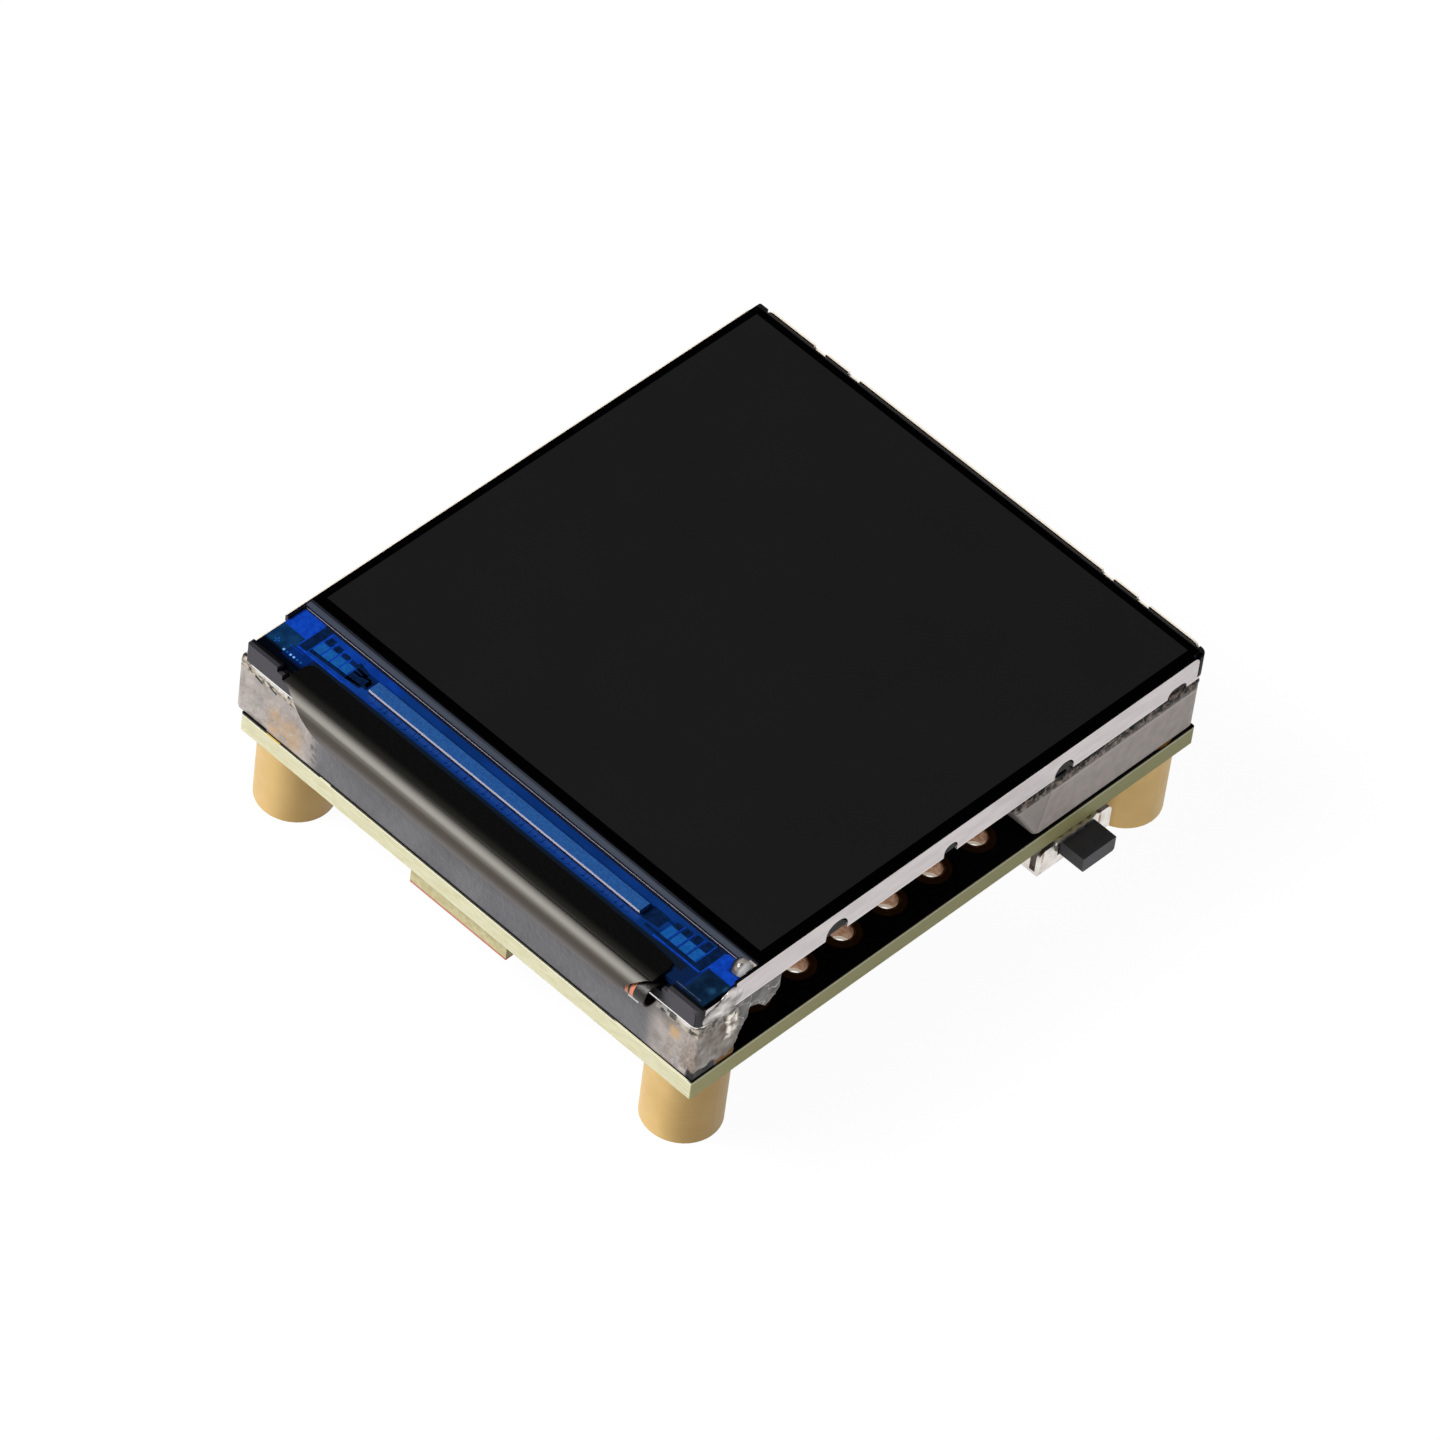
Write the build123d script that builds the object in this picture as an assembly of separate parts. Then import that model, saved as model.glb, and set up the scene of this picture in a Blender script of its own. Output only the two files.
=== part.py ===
from build123d import *
import os
from math import cos, radians, sin, tan

# A small display board: a square colour LCD module held by two clear gel strips
# on a black circuit board, which stands on four round brass standoffs.
# Millimetres. +Z is up and the standoff feet stand on Z = 0. The origin is the
# centre of the four-standoff pattern. +X is the side of the visible push key,
# -Y is the side where the display's flexible cable folds over the edge.

# Circuit board
board_width = 25.3
board_length = 28.6
board_thickness = 1.0
board_corner_radius = 0.06

# Brass standoffs, flush with the board's edges, and their gold solder rings
standoff_height = 3.5
standoff_diameter = 3.4
standoff_bore_diameter = 1.6
standoff_bore_chamfer = 0.2
spigot_diameter = 2.6
spigot_length = 0.8
spigot_clearance = 0.05
mount_ring_inset = 0.05
mount_ring_thickness = 0.04

# Header holes: two rows of plated holes along the long edges
header_pitch = 2.54
header_count = 6
header_hole_diameter = 1.0
header_plating_wall = 0.05
header_plating_rim = 0.03
header_plating_sides = 8
header_edge_inset = 1.65
header_front_distance = 4.89

# Gel strips that hold the display
gel_height = 3.0
gel_width_front = 2.24
gel_edge_inset = 0.08
gel_side_inset = 0.03
gel_bulge = 0.4
gel_length_back = 8.97
gel_back_undercut = 2.03
gel_back_foot = 0.3
gel_back_foot_height = 0.2
gel_corner_radius = 0.12
gel_tongue_reach = 2.35
gel_tongue_thickness = 0.35
gel_tongue_root = 0.3

# Lower edge of the tongue, as shares of its reach and of the gel's height
gel_tongue_hollow = ((0.07, 0.31), (0.28, 0.58))
gel_tongue_notch = ((0.27, 0.74), (0.44, 0.69), (0.65, 0.51))
gel_tongue_lip = ((0.84, 0.6), (1.0, 0.74))

# Display module: outline and stack, from the tray floor upwards
display_side_inset = 0.05
display_front_overhang = 0.07
display_back_overhang = 0.1
tray_floor_thickness = 0.14
tray_floor_inset = 0.05
tray_wall_thickness = 0.15
tray_wall_height = 1.35
tray_wall_front_drop = 0.33
tray_wall_front_length = 2.05
tray_corner_gap = 0.5
tray_wall_end_radius = 0.35
tray_slot_crown = 0.04
back_wall_gap_width = 0.66
back_wall_gap_depth = 0.16
back_wall_gap_places = (7.13, 9.07)
reflector_thickness = 0.06
guide_thickness = 0.44
film_thickness = 0.06
polarizer_thickness = 0.12
lower_glass_thickness = 0.3
upper_glass_thickness = 0.2
front_polarizer_thickness = 0.12
fit_gap = 0.03
glass_back_inset = 0.3
upper_glass_front_inset = 3.04
polarizer_front_inset = 0.34
polarizer_back_inset = 0.1
window_side_inset = 0.9
window_front_inset = 1.62
window_back_inset = 1.0
film_front_inset = 0.1
frame_front_wall = 0.35
frame_front_drop = 0.04
frame_corner_length = 1.7
frame_corner_radius = 0.4
frame_left_radius = 0.08
frame_right_radius = 0.32
frame_post_drop = 0.1
frame_step_length = 0.3
frame_step_depth = 0.34
frame_boss_inset = 0.04
frame_boss_bevel = 0.75

# Cuts in the tray's long walls: (centre as a share of the length, width, height)
tray_slots = ((0.268, 1.2, 0.78), (0.49, 0.75, 0.59), (0.715, 1.07, 0.67), (0.943, 1.1, 0.4))

# Driver chip bonded on the glass ledge
driver_length = 15.1
driver_width = 0.57
driver_height = 0.25
driver_glass_distance = 1.005

# Display cable: bonded on the ledge, folded over the edge, back under the tray
cable_thickness = 0.12
cable_left_inset = 2.45
cable_right_inset = 2.28
cable_bond_length = 1.07
cable_bend_reach = 0.28
cable_left_taper = 1.85
cable_right_taper = 0.87
cable_drop_inset = 3.17
cable_drop_angle = 60.0
cable_drop_radius = 0.9
cable_landing_length = 1.7
cable_tail_width = 10.0
cable_tail_centre_x = 1.0
cable_tail_shoulder = 1.0
cable_taper_steps = 10
solder_pad_count = 12
solder_pad_pitch = 0.8
solder_pad_width = 0.4
solder_pad_length = 0.9
solder_pad_height = 0.16

# Backlight: lamp strip cable curled outside the frame, and its lamps
lamp_cable_thickness = 0.08
lamp_cable_half_length = 10.8
lamp_cable_inset = 1.5
lamp_curl_start = 55.0
lamp_curl_turn = 245.0
lamp_curl_left_x = 7.0
lamp_curl_right_x = 10.46
lamp_count = 4
lamp_length = 3.0
lamp_depth = 0.7
lamp_height = 0.4
lamp_pitch = 5.6
lamp_setback = 0.15
lamp_top_gap = 0.04
glue_dot_radius = 0.46
glue_dot_side = 0.35
glue_dot_front = 0.17

# Side push keys under the board
key_back_distance = 6.75
key_width = 4.2
key_depth = 3.5
key_height = 1.55
key_overhang = 0.05
key_sheet = 0.15
key_lobe_radius = 0.35
key_cheek_back = 0.6
key_cheek_front = 0.45
plunger_width = 1.9
plunger_height = 0.8
plunger_top_gap = 0.25
plunger_reach = 1.3
plunger_flange_width = 2.7
plunger_flange_depth = 0.6
plunger_corner_radius = 0.15
plunger_clearance = 0.04
key_travel = 0.25
dome_thickness = 0.08
dome_bulge = 0.3
key_leg_width = 0.8
key_leg_length = 0.7
key_leg_thickness = 0.15

# Chip antenna under the front edge
antenna_length = 5.4
antenna_width = 2.0
antenna_height = 1.0
antenna_centre_x = -0.35
antenna_edge_inset = 0.2
antenna_pad_length = 0.5
antenna_pad_thickness = 0.05

# Hidden USB receptacle under the back edge
usb_centre_x = -1.5
usb_width = 8.94
usb_height = 3.2
usb_depth = 7.35
usb_wall = 0.3
usb_corner_radius = 1.25
usb_overhang = 0.5
usb_tongue_width = 6.7
usb_tongue_thickness = 0.7
usb_tongue_setback = 0.9
usb_core_depth = 2.4
usb_contact_count = 12
usb_contact_pitch = 0.5
usb_contact_width = 0.25
usb_contact_length = 3.0
usb_contact_thickness = 0.05
usb_leg_width = 0.9
usb_leg_depth = 0.6
usb_leg_thickness = 0.3
usb_leg_clearance = 0.1
usb_leg_front_inset = 1.44

# Hidden battery socket beside the USB receptacle
socket_centre_x = 6.2
socket_width = 4.25
socket_height = 3.1
socket_depth = 4.6
socket_setback = 0.1
socket_wall = 0.55
socket_bottom = 0.6
socket_back_wall = 1.2
socket_key_width = 0.6
socket_key_depth = 1.6
socket_pin_drop = 0.1
socket_pin_pitch = 1.25
socket_pin_size = 0.35
socket_pin_reach = 2.4
socket_tail_length = 0.9

# Hidden chips under the board: (centre x, centre y, size x, size y, height)
processor_size = (-0.8, -2.2, 7.0, 7.0, 0.85)
memory_size = (6.6, -0.6, 5.0, 6.0, 0.8)
crystal_size = (5.6, -6.0, 3.2, 2.5, 0.7)
sensor_size = (-7.4, -1.0, 3.0, 2.5, 0.9)
coil_size = (-7.2, -5.0, 2.5, 2.0, 1.0)
regulator_centre = (-7.2, 3.0)
charger_centre = (5.4, 4.9)
driver_switch_centre = (-7.2, -8.7)
chip_chamfer = 0.06
small_body_length = 2.9
small_body_width = 1.6
small_body_height = 1.1
small_body_gap = 0.08
small_body_chamfer = 0.12
small_lead_span = 2.8
small_lead_knee = 0.25
small_lead_slope = 0.1
small_lead_root = 0.1
small_lead_width = 0.4
small_lead_row = 1.9
small_lead_thickness = 0.15
passive_length = 1.0
passive_width = 0.5
passive_distance = 0.75
capacitor_pitch = 1.7
capacitor_side_pitch = 1.6
capacitor_height = 0.5
resistor_height = 0.35
resistor_pitch = 1.5
resistor_close_pitch = 1.0
feed_distance = 1.2
indicator_length = 1.6
indicator_width = 0.8
indicator_height = 0.6
indicator_chamfer = 0.1
indicator_pitch = 2.0
indicator_centre = (7.4, -10.2)

# Levels worked out from the sizes above
board_bottom = standoff_height
board_top = board_bottom + board_thickness
tray_bottom = board_top + gel_height
reflector_bottom = tray_bottom + tray_floor_thickness
guide_bottom = reflector_bottom + reflector_thickness
film_bottom = guide_bottom + guide_thickness
rear_polarizer_bottom = film_bottom + 2 * film_thickness
lower_glass_bottom = rear_polarizer_bottom + polarizer_thickness
ledge_level = lower_glass_bottom + lower_glass_thickness
front_polarizer_bottom = ledge_level + upper_glass_thickness

# Plan positions worked out from the sizes above
half_board_x = board_width / 2
half_board_y = board_length / 2
standoff_pitch_x = board_width - standoff_diameter
standoff_pitch_y = board_length - standoff_diameter
header_row_x = half_board_x - header_edge_inset
half_display = half_board_x - display_side_inset
display_front_y = -half_board_y - display_front_overhang
display_back_y = half_board_y + display_back_overhang
tray_inside = half_display - tray_wall_thickness
half_glass = tray_inside
glass_back_y = display_back_y - glass_back_inset
upper_glass_front_y = display_front_y + upper_glass_front_inset
half_window = half_display - window_side_inset
window_front_y = display_front_y + window_front_inset
window_back_y = display_back_y - window_back_inset
film_front_y = window_front_y + film_front_inset
frame_inside_y = display_front_y + frame_front_wall
lower_glass_front_y = frame_inside_y + fit_gap
driver_centre_y = upper_glass_front_y - driver_glass_distance
glue_dot_x = half_glass - glue_dot_side
glue_dot_y = upper_glass_front_y - glue_dot_front
gel_left_x = -half_board_x - gel_bulge
gel_front_y = -half_board_y + gel_edge_inset
gel_inner_y = gel_front_y + gel_width_front
gel_back_y = half_board_y - gel_edge_inset
gel_back_front_y = gel_back_y - gel_length_back
antenna_front_y = -half_board_y + antenna_edge_inset
antenna_left_x = antenna_centre_x - antenna_length / 2
feed_y = antenna_front_y + antenna_width + feed_distance

# The folded cable's path and its slanted edges
cable_left_x = -half_display + cable_left_inset
cable_right_x = half_display - cable_right_inset
cable_start_y = display_front_y + cable_bond_length
cable_bend_y = display_front_y - cable_bend_reach
cable_drop_y = display_front_y + cable_drop_inset
cable_under_top = tray_bottom - fit_gap
cable_under_bottom = cable_under_top - cable_thickness
cable_bend_radius = (ledge_level - cable_under_top) / 2
cable_bend_level = (ledge_level + cable_under_top) / 2
cable_fold_length = (cable_bend_radius + cable_thickness) * radians(180)
cable_under_left = cable_left_x + cable_left_taper * cable_fold_length
cable_under_right = cable_right_x - cable_right_taper * cable_fold_length
cable_low_face = board_top + cable_thickness
cable_landing_y = cable_drop_y + (cable_under_top - cable_low_face) / tan(radians(cable_drop_angle))
cable_end_y = cable_landing_y + cable_landing_length

# Key, receptacle and socket positions
key_centre_y = half_board_y - key_back_distance
key_front = half_board_x + key_overhang
key_back = key_front - key_depth
key_bottom = board_bottom - key_height
plunger_top = board_bottom - plunger_top_gap
plunger_bottom = plunger_top - plunger_height
key_pocket_depth = plunger_flange_depth + key_travel + dome_bulge + dome_thickness
usb_front_y = half_board_y + usb_overhang
usb_back_y = usb_front_y - usb_depth
usb_bottom = board_bottom - usb_height
usb_middle = (usb_bottom + board_bottom) / 2
socket_front_y = half_board_y - socket_setback
socket_back_y = socket_front_y - socket_depth


def block(x0, x1, y0, y1, z0, z1):
    """A box between two corners."""
    return Pos(x0, y0, z0) * Box(x1 - x0, y1 - y0, z1 - z0, align=(Align.MIN, Align.MIN, Align.MIN))


def rod(x, y, z0, z1, radius):
    """A round rod standing along Z."""
    return Pos(x, y, z0) * Cylinder(radius, z1 - z0, align=(Align.CENTER, Align.CENTER, Align.MIN))


def along_x(profile, x0, x1):
    """Extrudes a face drawn as (Y, Z) along X."""
    start = Plane(origin=(x0, 0, 0), x_dir=(0, 1, 0), z_dir=(1, 0, 0))
    return extrude(start * profile, x1 - x0, dir=(1, 0, 0))


def along_y(profile, y0, y1):
    """Extrudes a face drawn as (X, Z) along Y."""
    start = Plane(origin=(0, y0, 0), x_dir=(1, 0, 0), z_dir=(0, -1, 0))
    return extrude(start * profile, y1 - y0, dir=(0, 1, 0))


def outline(points):
    """A face through straight-sided points."""
    return make_face(Polyline(*points, close=True))


def fused(solids):
    """One solid from a list of touching solids."""
    first, *others = solids
    return first.fuse(*others).clean() if others else first


def group(solids):
    """Separate solids of like pieces kept in one node."""
    return Compound(children=[piece for item in solids for piece in item.solids()])


def standoff_places():
    return [
        (sx * standoff_pitch_x / 2, sy * standoff_pitch_y / 2)
        for sx in (-1, 1)
        for sy in (-1, 1)
    ]


def header_places():
    first = -half_board_y + header_front_distance
    return [
        (sx * header_row_x, first + header_pitch * row)
        for sx in (-1, 1)
        for row in range(header_count)
    ]


def mount_hole_radius():
    return spigot_diameter / 2 + spigot_clearance


def ring_blank(x, y):
    z0 = board_top - mount_ring_thickness
    radius = standoff_diameter / 2 - mount_ring_inset
    return rod(x, y, z0, board_top, radius) - rod(x, y, z0, board_top, mount_hole_radius())


def mount_rings():
    """Gold solder rings let into the upper face round the standoffs' spigots."""
    return group([ring_blank(x, y) for x, y in standoff_places()])


def usb_leg_places():
    side = usb_width / 2 - usb_leg_thickness / 2
    rear = usb_back_y + usb_leg_width
    front = half_board_y - usb_leg_front_inset
    return [(usb_centre_x + s * side, y) for s in (-1, 1) for y in (rear, front)]


def circuit_board():
    """Black glass-fibre board with its round holes, ring seats and shell slots."""
    board = block(-half_board_x, half_board_x, -half_board_y, half_board_y, board_bottom, board_top)
    board = fillet(board.edges().filter_by(Axis.Z), board_corner_radius)
    for x, y in standoff_places():
        board -= rod(x, y, board_bottom, board_top, mount_hole_radius())
        board -= ring_blank(x, y)
    for x, y in header_places():
        board -= barrel_blank(x, y, board_bottom, board_top)
    slot_x = usb_leg_thickness / 2 + usb_leg_clearance
    slot_y = usb_leg_width / 2 + usb_leg_clearance
    for x, y in usb_leg_places():
        board -= block(x - slot_x, x + slot_x, y - slot_y, y + slot_y, board_bottom, board_top)
    return board


def barrel_blank(x, y, z0, z1):
    """The many-sided outside of a plated hole."""
    radius = header_hole_diameter / 2 + header_plating_wall
    shape = RegularPolygon(radius, header_plating_sides, major_radius=False)
    return extrude(Pos(x, y, z0) * shape, z1 - z0, dir=(0, 0, 1))


def header_plating():
    """Copper barrels with a round bore and a thin rim standing on both faces."""
    barrels = []
    for x, y in header_places():
        z0 = board_bottom - header_plating_rim
        z1 = board_top + header_plating_rim
        barrels.append(barrel_blank(x, y, z0, z1) - rod(x, y, z0, z1, header_hole_diameter / 2))
    return group(barrels)


def standoff(x, y):
    """Turned brass standoff: round body, spigot in the board, tapped bore."""
    bore = standoff_bore_diameter / 2
    body = standoff_diameter / 2
    spigot = spigot_diameter / 2
    top = standoff_height + spigot_length
    lead = standoff_bore_chamfer
    profile = outline([
        (bore + lead, 0),
        (body, 0),
        (body, standoff_height),
        (spigot, standoff_height),
        (spigot, top),
        (bore, top),
        (bore, lead),
    ])
    return Pos(x, y, 0) * revolve(Plane.XZ * profile, Axis.Z)


def gel_tongue():
    """The gel squeezed out behind the strip at the key side, drawn in (Y, Z) from its root."""
    y0 = gel_inner_y - gel_tongue_root
    tip = gel_inner_y + gel_tongue_reach
    hollow, notch, lip = (
        [(gel_inner_y + along * gel_tongue_reach, board_top + up * gel_height) for along, up in shares]
        for shares in (gel_tongue_hollow, gel_tongue_notch, gel_tongue_lip)
    )
    root = (gel_inner_y - fit_gap, board_top)
    side = make_face(
        Line((y0, board_top), root)
        + Spline(root, *hollow)
        + Line(hollow[-1], notch[0])
        + ThreePointArc(*notch)
        + Spline(notch[-1], *lip)
        + Line(lip[-1], (tip, tray_bottom))
        + Line((tip, tray_bottom), (y0, tray_bottom))
        + Line((y0, tray_bottom), (y0, board_top))
    )
    return along_x(side, half_display - gel_tongue_thickness, half_display)


def front_gel():
    """Clear gel strip under the cable side, with its tongue and a trough for the cable."""
    strip = block(gel_left_x, half_display, gel_front_y, gel_inner_y, board_top, tray_bottom)
    end = strip.faces().sort_by(Axis.X)[0].edges()
    strip = fillet(end.sort_by(Axis.Z)[:-1], gel_corner_radius)
    gel = fused([strip, gel_tongue()])
    return gel - block(
        cable_under_left - fit_gap,
        cable_under_right + fit_gap,
        gel_front_y,
        gel_inner_y,
        cable_under_bottom - fit_gap,
        tray_bottom,
    )


def back_gel():
    """Clear gel strip under the far side, with a slanted cut end."""
    side = outline([
        (gel_back_front_y, board_top),
        (gel_back_y, board_top),
        (gel_back_y, tray_bottom),
        (gel_back_front_y - gel_back_undercut, tray_bottom),
        (gel_back_front_y - gel_back_foot, board_top + gel_back_foot_height),
    ])
    half = half_display - gel_side_inset
    strip = along_x(side, -half, half)
    return fillet(strip.edges().filter_by(Axis.Z), gel_corner_radius)


def slot_arches(x0, x1, clearance=0.0):
    """The round cuts in a side wall or, with a clearance, the bevelled bosses that stand in them."""
    arches = []
    for share, width, height in tray_slots:
        y = display_front_y + share * (display_back_y - display_front_y)
        half = width / 2 - clearance
        arch = block(x0, x1, y - half, y + half, tray_bottom, tray_bottom + height - clearance)
        crown = arch.edges().filter_by(Axis.X).group_by(Axis.Z)[-1]
        radius = min(width / 2, height) - tray_slot_crown
        arches.append(chamfer(crown, frame_boss_bevel * radius) if clearance else fillet(crown, radius))
    return arches


def side_wall(side):
    """One long wall of the tray: lower at the ledge, rounded back end, arched cuts."""
    y0 = frame_inside_y + fit_gap
    y1 = display_back_y - tray_corner_gap
    top = tray_bottom + tray_wall_height
    x0, x1 = sorted((side * tray_inside, side * half_display))
    wall = block(x0, x1, y0, y1, tray_bottom, top)
    wall -= block(x0, x1, y0, display_front_y + tray_wall_front_length, top - tray_wall_front_drop, top)
    wall = fillet(wall.edges().filter_by(Axis.X).group_by(Axis.Z)[-1].sort_by(Axis.Y)[-1], tray_wall_end_radius)
    for cut in slot_arches(x0, x1):
        wall -= cut
    return wall


def back_wall():
    """The far wall of the tray with shallow notches in its upper edge."""
    half = half_display - tray_corner_gap
    top = tray_bottom + tray_wall_height
    y0 = display_back_y - tray_wall_thickness
    wall = block(-half, half, y0, display_back_y, tray_bottom, top)
    wall = fillet(wall.edges().filter_by(Axis.Y).group_by(Axis.Z)[-1], tray_wall_end_radius)
    z0 = top - back_wall_gap_depth
    reach = back_wall_gap_width / 2
    for distance in back_wall_gap_places:
        for x in (-distance, distance):
            wall -= block(x - reach, x + reach, y0, display_back_y, z0, top)
    return wall


def display_tray():
    """Folded sheet-metal tray: floor and three walls, open at the cable side."""
    y0 = display_front_y + tray_floor_inset
    floor = block(-half_display, half_display, y0, display_back_y, tray_bottom, reflector_bottom)
    floor = fillet(floor.edges().filter_by(Axis.Z), frame_corner_radius)
    for side in (-1, 1):
        x0, x1 = sorted((side * tray_inside, side * half_display))
        for cut in slot_arches(x0, x1):
            floor -= cut
    return fused([floor, side_wall(-1), side_wall(1), back_wall()])


def frame_bosses(side):
    """The frame's snap bosses, which stand in the arches of a tray wall."""
    x0, x1 = sorted((side * (tray_inside - fit_gap), side * (half_display - frame_boss_inset)))
    z0 = reflector_bottom + fit_gap
    above = block(x0, x1, display_front_y, display_back_y, z0, tray_bottom + tray_wall_height)
    return [arch & above for arch in slot_arches(x0, x1, fit_gap)]


def backlight_frame():
    """Black moulded frame: rails under the glass, a stepped front wall and snap bosses."""
    rail_top = lower_glass_bottom
    outer = tray_inside - fit_gap
    z0 = guide_bottom
    y0 = display_front_y
    y1 = frame_inside_y
    back = display_back_y - tray_wall_thickness - fit_gap
    rails = block(-outer, outer, y0, back, z0, rail_top)
    rails -= block(-half_window, half_window, y1, window_back_y, z0, rail_top)
    front_top = ledge_level - frame_front_drop
    front = block(-half_display, half_display, y0, y1, reflector_bottom, front_top)
    for end, radius in ((0, frame_left_radius), (-1, frame_right_radius)):
        corner = front.edges().filter_by(Axis.Z).group_by(Axis.Y)[0].sort_by(Axis.X)[end]
        front = fillet(corner, radius)
    step_x = half_display - frame_corner_length
    front -= block(-step_x, step_x, y0, y1, front_top - frame_step_depth, front_top)
    low_x = step_x - frame_step_length
    opening = block(-low_x, low_x, y0, y1, film_bottom, front_top)
    bosses = frame_bosses(-1) + frame_bosses(1)
    return fused([rails - opening, front - opening, frame_post(-1), frame_post(1), *bosses])


def frame_post(side):
    """A rounded corner of the frame that fills the gap between two tray walls."""
    z0 = reflector_bottom
    z1 = tray_bottom + tray_wall_height - frame_post_drop
    x1 = half_display
    y1 = display_back_y
    reach = tray_corner_gap - fit_gap
    post = block(x1 - reach, x1, y1 - reach, y1, z0, z1)
    outer = post.edges().filter_by(Axis.Z).sort_by(Axis.X)[-2:].sort_by(Axis.Y)[-1]
    post = fillet(outer, frame_corner_radius)
    inside_x = half_glass + fit_gap
    inside_y = glass_back_y + fit_gap
    post -= block(0, inside_x, 0, inside_y, lower_glass_bottom, z1)
    post -= block(0, tray_inside - fit_gap, 0, y1 - tray_wall_thickness - fit_gap, z0, guide_bottom)
    return post if side > 0 else mirror(post, Plane.YZ)


def glass_plate(y0, y1, z0, thickness):
    return block(-half_glass, half_glass, y0, y1, z0, z0 + thickness)


def window_sheet(y0, z0, thickness):
    """A backlight layer that lies in the frame's window."""
    half = half_window - fit_gap
    return block(-half, half, y0, window_back_y - fit_gap, z0, z0 + thickness)


def reflector():
    return block(
        -tray_inside + fit_gap,
        tray_inside - fit_gap,
        frame_inside_y + fit_gap,
        display_back_y - tray_corner_gap,
        reflector_bottom,
        guide_bottom,
    )


def driver_chip():
    half = driver_length / 2
    y0 = driver_centre_y - driver_width / 2
    return block(-half, half, y0, y0 + driver_width, ledge_level, ledge_level + driver_height)


def cable_section():
    """The cable's path in (Y, Z): ledge, fold, run under the tray, drop, landing."""
    over = Line((cable_start_y, ledge_level), (cable_bend_y, ledge_level))
    fold = CenterArc((cable_bend_y, cable_bend_level), cable_bend_radius, 90, 180)
    under = FilletPolyline(
        (cable_bend_y, cable_under_top),
        (cable_drop_y, cable_under_top),
        (cable_landing_y, cable_low_face),
        (cable_end_y, cable_low_face),
        radius=cable_drop_radius,
    )
    path = Wire([over.edge(), fold.edge()] + list(under.edges()))
    return Face(path.offset_2d(cable_thickness, side=Side.RIGHT))


def taper_cut(start_x, end_x):
    """Cuts the fold along a straight slanted edge of the unrolled cable."""
    radius = cable_bend_radius + cable_thickness
    edge = []
    for step in range(cable_taper_steps + 1):
        share = step / cable_taper_steps
        height = radius * cos(radians(180) * share)
        edge.append((start_x + (end_x - start_x) * share, cable_bend_level + height))
    far = 2 * start_x - end_x
    above = edge[0][1] + radius
    below = edge[-1][1] - radius
    shape = outline([(edge[0][0], above), *edge, (edge[-1][0], below), (far, below), (far, above)])
    return along_y(shape, cable_bend_y, cable_bend_y - 2 * radius)


def display_cable():
    """Black flexible cable with slanted shoulders, folded round and led to the board."""
    cable = along_x(cable_section(), cable_left_x, cable_right_x)
    cable -= taper_cut(cable_left_x, cable_under_left)
    cable -= taper_cut(cable_right_x, cable_under_right)
    tail_left = cable_tail_centre_x - cable_tail_width / 2
    tail_right = cable_tail_centre_x + cable_tail_width / 2
    shoulder = cable_drop_y - cable_tail_shoulder
    for x0, x1, y0 in (
        (cable_left_x, cable_under_left, cable_bend_y),
        (cable_under_right, cable_right_x, cable_bend_y),
        (cable_left_x, tail_left, shoulder),
        (tail_right, cable_right_x, shoulder),
    ):
        cable -= block(x0, x1, y0, cable_end_y, board_bottom, cable_bend_level)
    return cable


def cable_joints():
    """Solder joints at the end of the cable's tail."""
    joints = []
    first = cable_tail_centre_x - solder_pad_pitch * (solder_pad_count - 1) / 2
    half = solder_pad_width / 2
    y = cable_end_y
    profile = outline([
        (y, board_top),
        (y + solder_pad_length, board_top),
        (y + solder_pad_length / 2, board_top + solder_pad_height / 2),
        (y, board_top + solder_pad_height),
    ])
    for number in range(solder_pad_count):
        x = first + number * solder_pad_pitch
        joints.append(along_x(profile, x - half, x + half))
    return group(joints)


def lamp_cable():
    """The backlight's own strip, its end curled up in front of the frame."""
    z = film_bottom + fit_gap
    centre_y = cable_bend_y - fit_gap
    centre_z = cable_bend_level - fit_gap
    radius = cable_bend_radius - lamp_cable_thickness - 2 * fit_gap
    angle = radians(lamp_curl_start)
    start = (centre_y + radius * cos(angle), centre_z + radius * sin(angle))
    kink = (start[0] + (start[1] - z) * tan(angle), z)
    inner = Line((display_front_y + lamp_cable_inset, z), kink)
    join = Line(kink, start)
    curl = CenterArc((centre_y, centre_z), radius, lamp_curl_start, lamp_curl_turn)
    path = Wire([inner.edge(), join.edge(), curl.edge()])
    section = Face(path.offset_2d(lamp_cable_thickness, side=Side.RIGHT))
    strip = along_x(section, -lamp_cable_half_length, lamp_curl_right_x)
    front = centre_y - 2 * radius
    back = frame_inside_y + fit_gap
    return strip - block(-lamp_cable_half_length, lamp_curl_left_x, front, back, board_top, ledge_level)


def lamps():
    """Lamps that shine into the front edge of the light guide."""
    z1 = film_bottom - lamp_top_gap
    y0 = frame_inside_y + lamp_setback
    first = -(lamp_pitch * (lamp_count - 1) + lamp_length) / 2
    pieces = []
    for number in range(lamp_count):
        x0 = first + number * lamp_pitch
        pieces.append(block(x0, x0 + lamp_length, y0, y0 + lamp_depth, z1 - lamp_height, z1))
    return group(pieces)


def glue_dot():
    """A clear dome of glue on the ledge beside the upper glass."""
    r = glue_dot_radius
    dome = Pos(glue_dot_x, glue_dot_y, ledge_level) * Sphere(r)
    return dome & block(
        glue_dot_x - r, half_glass, glue_dot_y - r, upper_glass_front_y, ledge_level, ledge_level + r
    )


def on_key_side(solid, side):
    return solid if side > 0 else mirror(solid, Plane.YZ)


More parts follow.
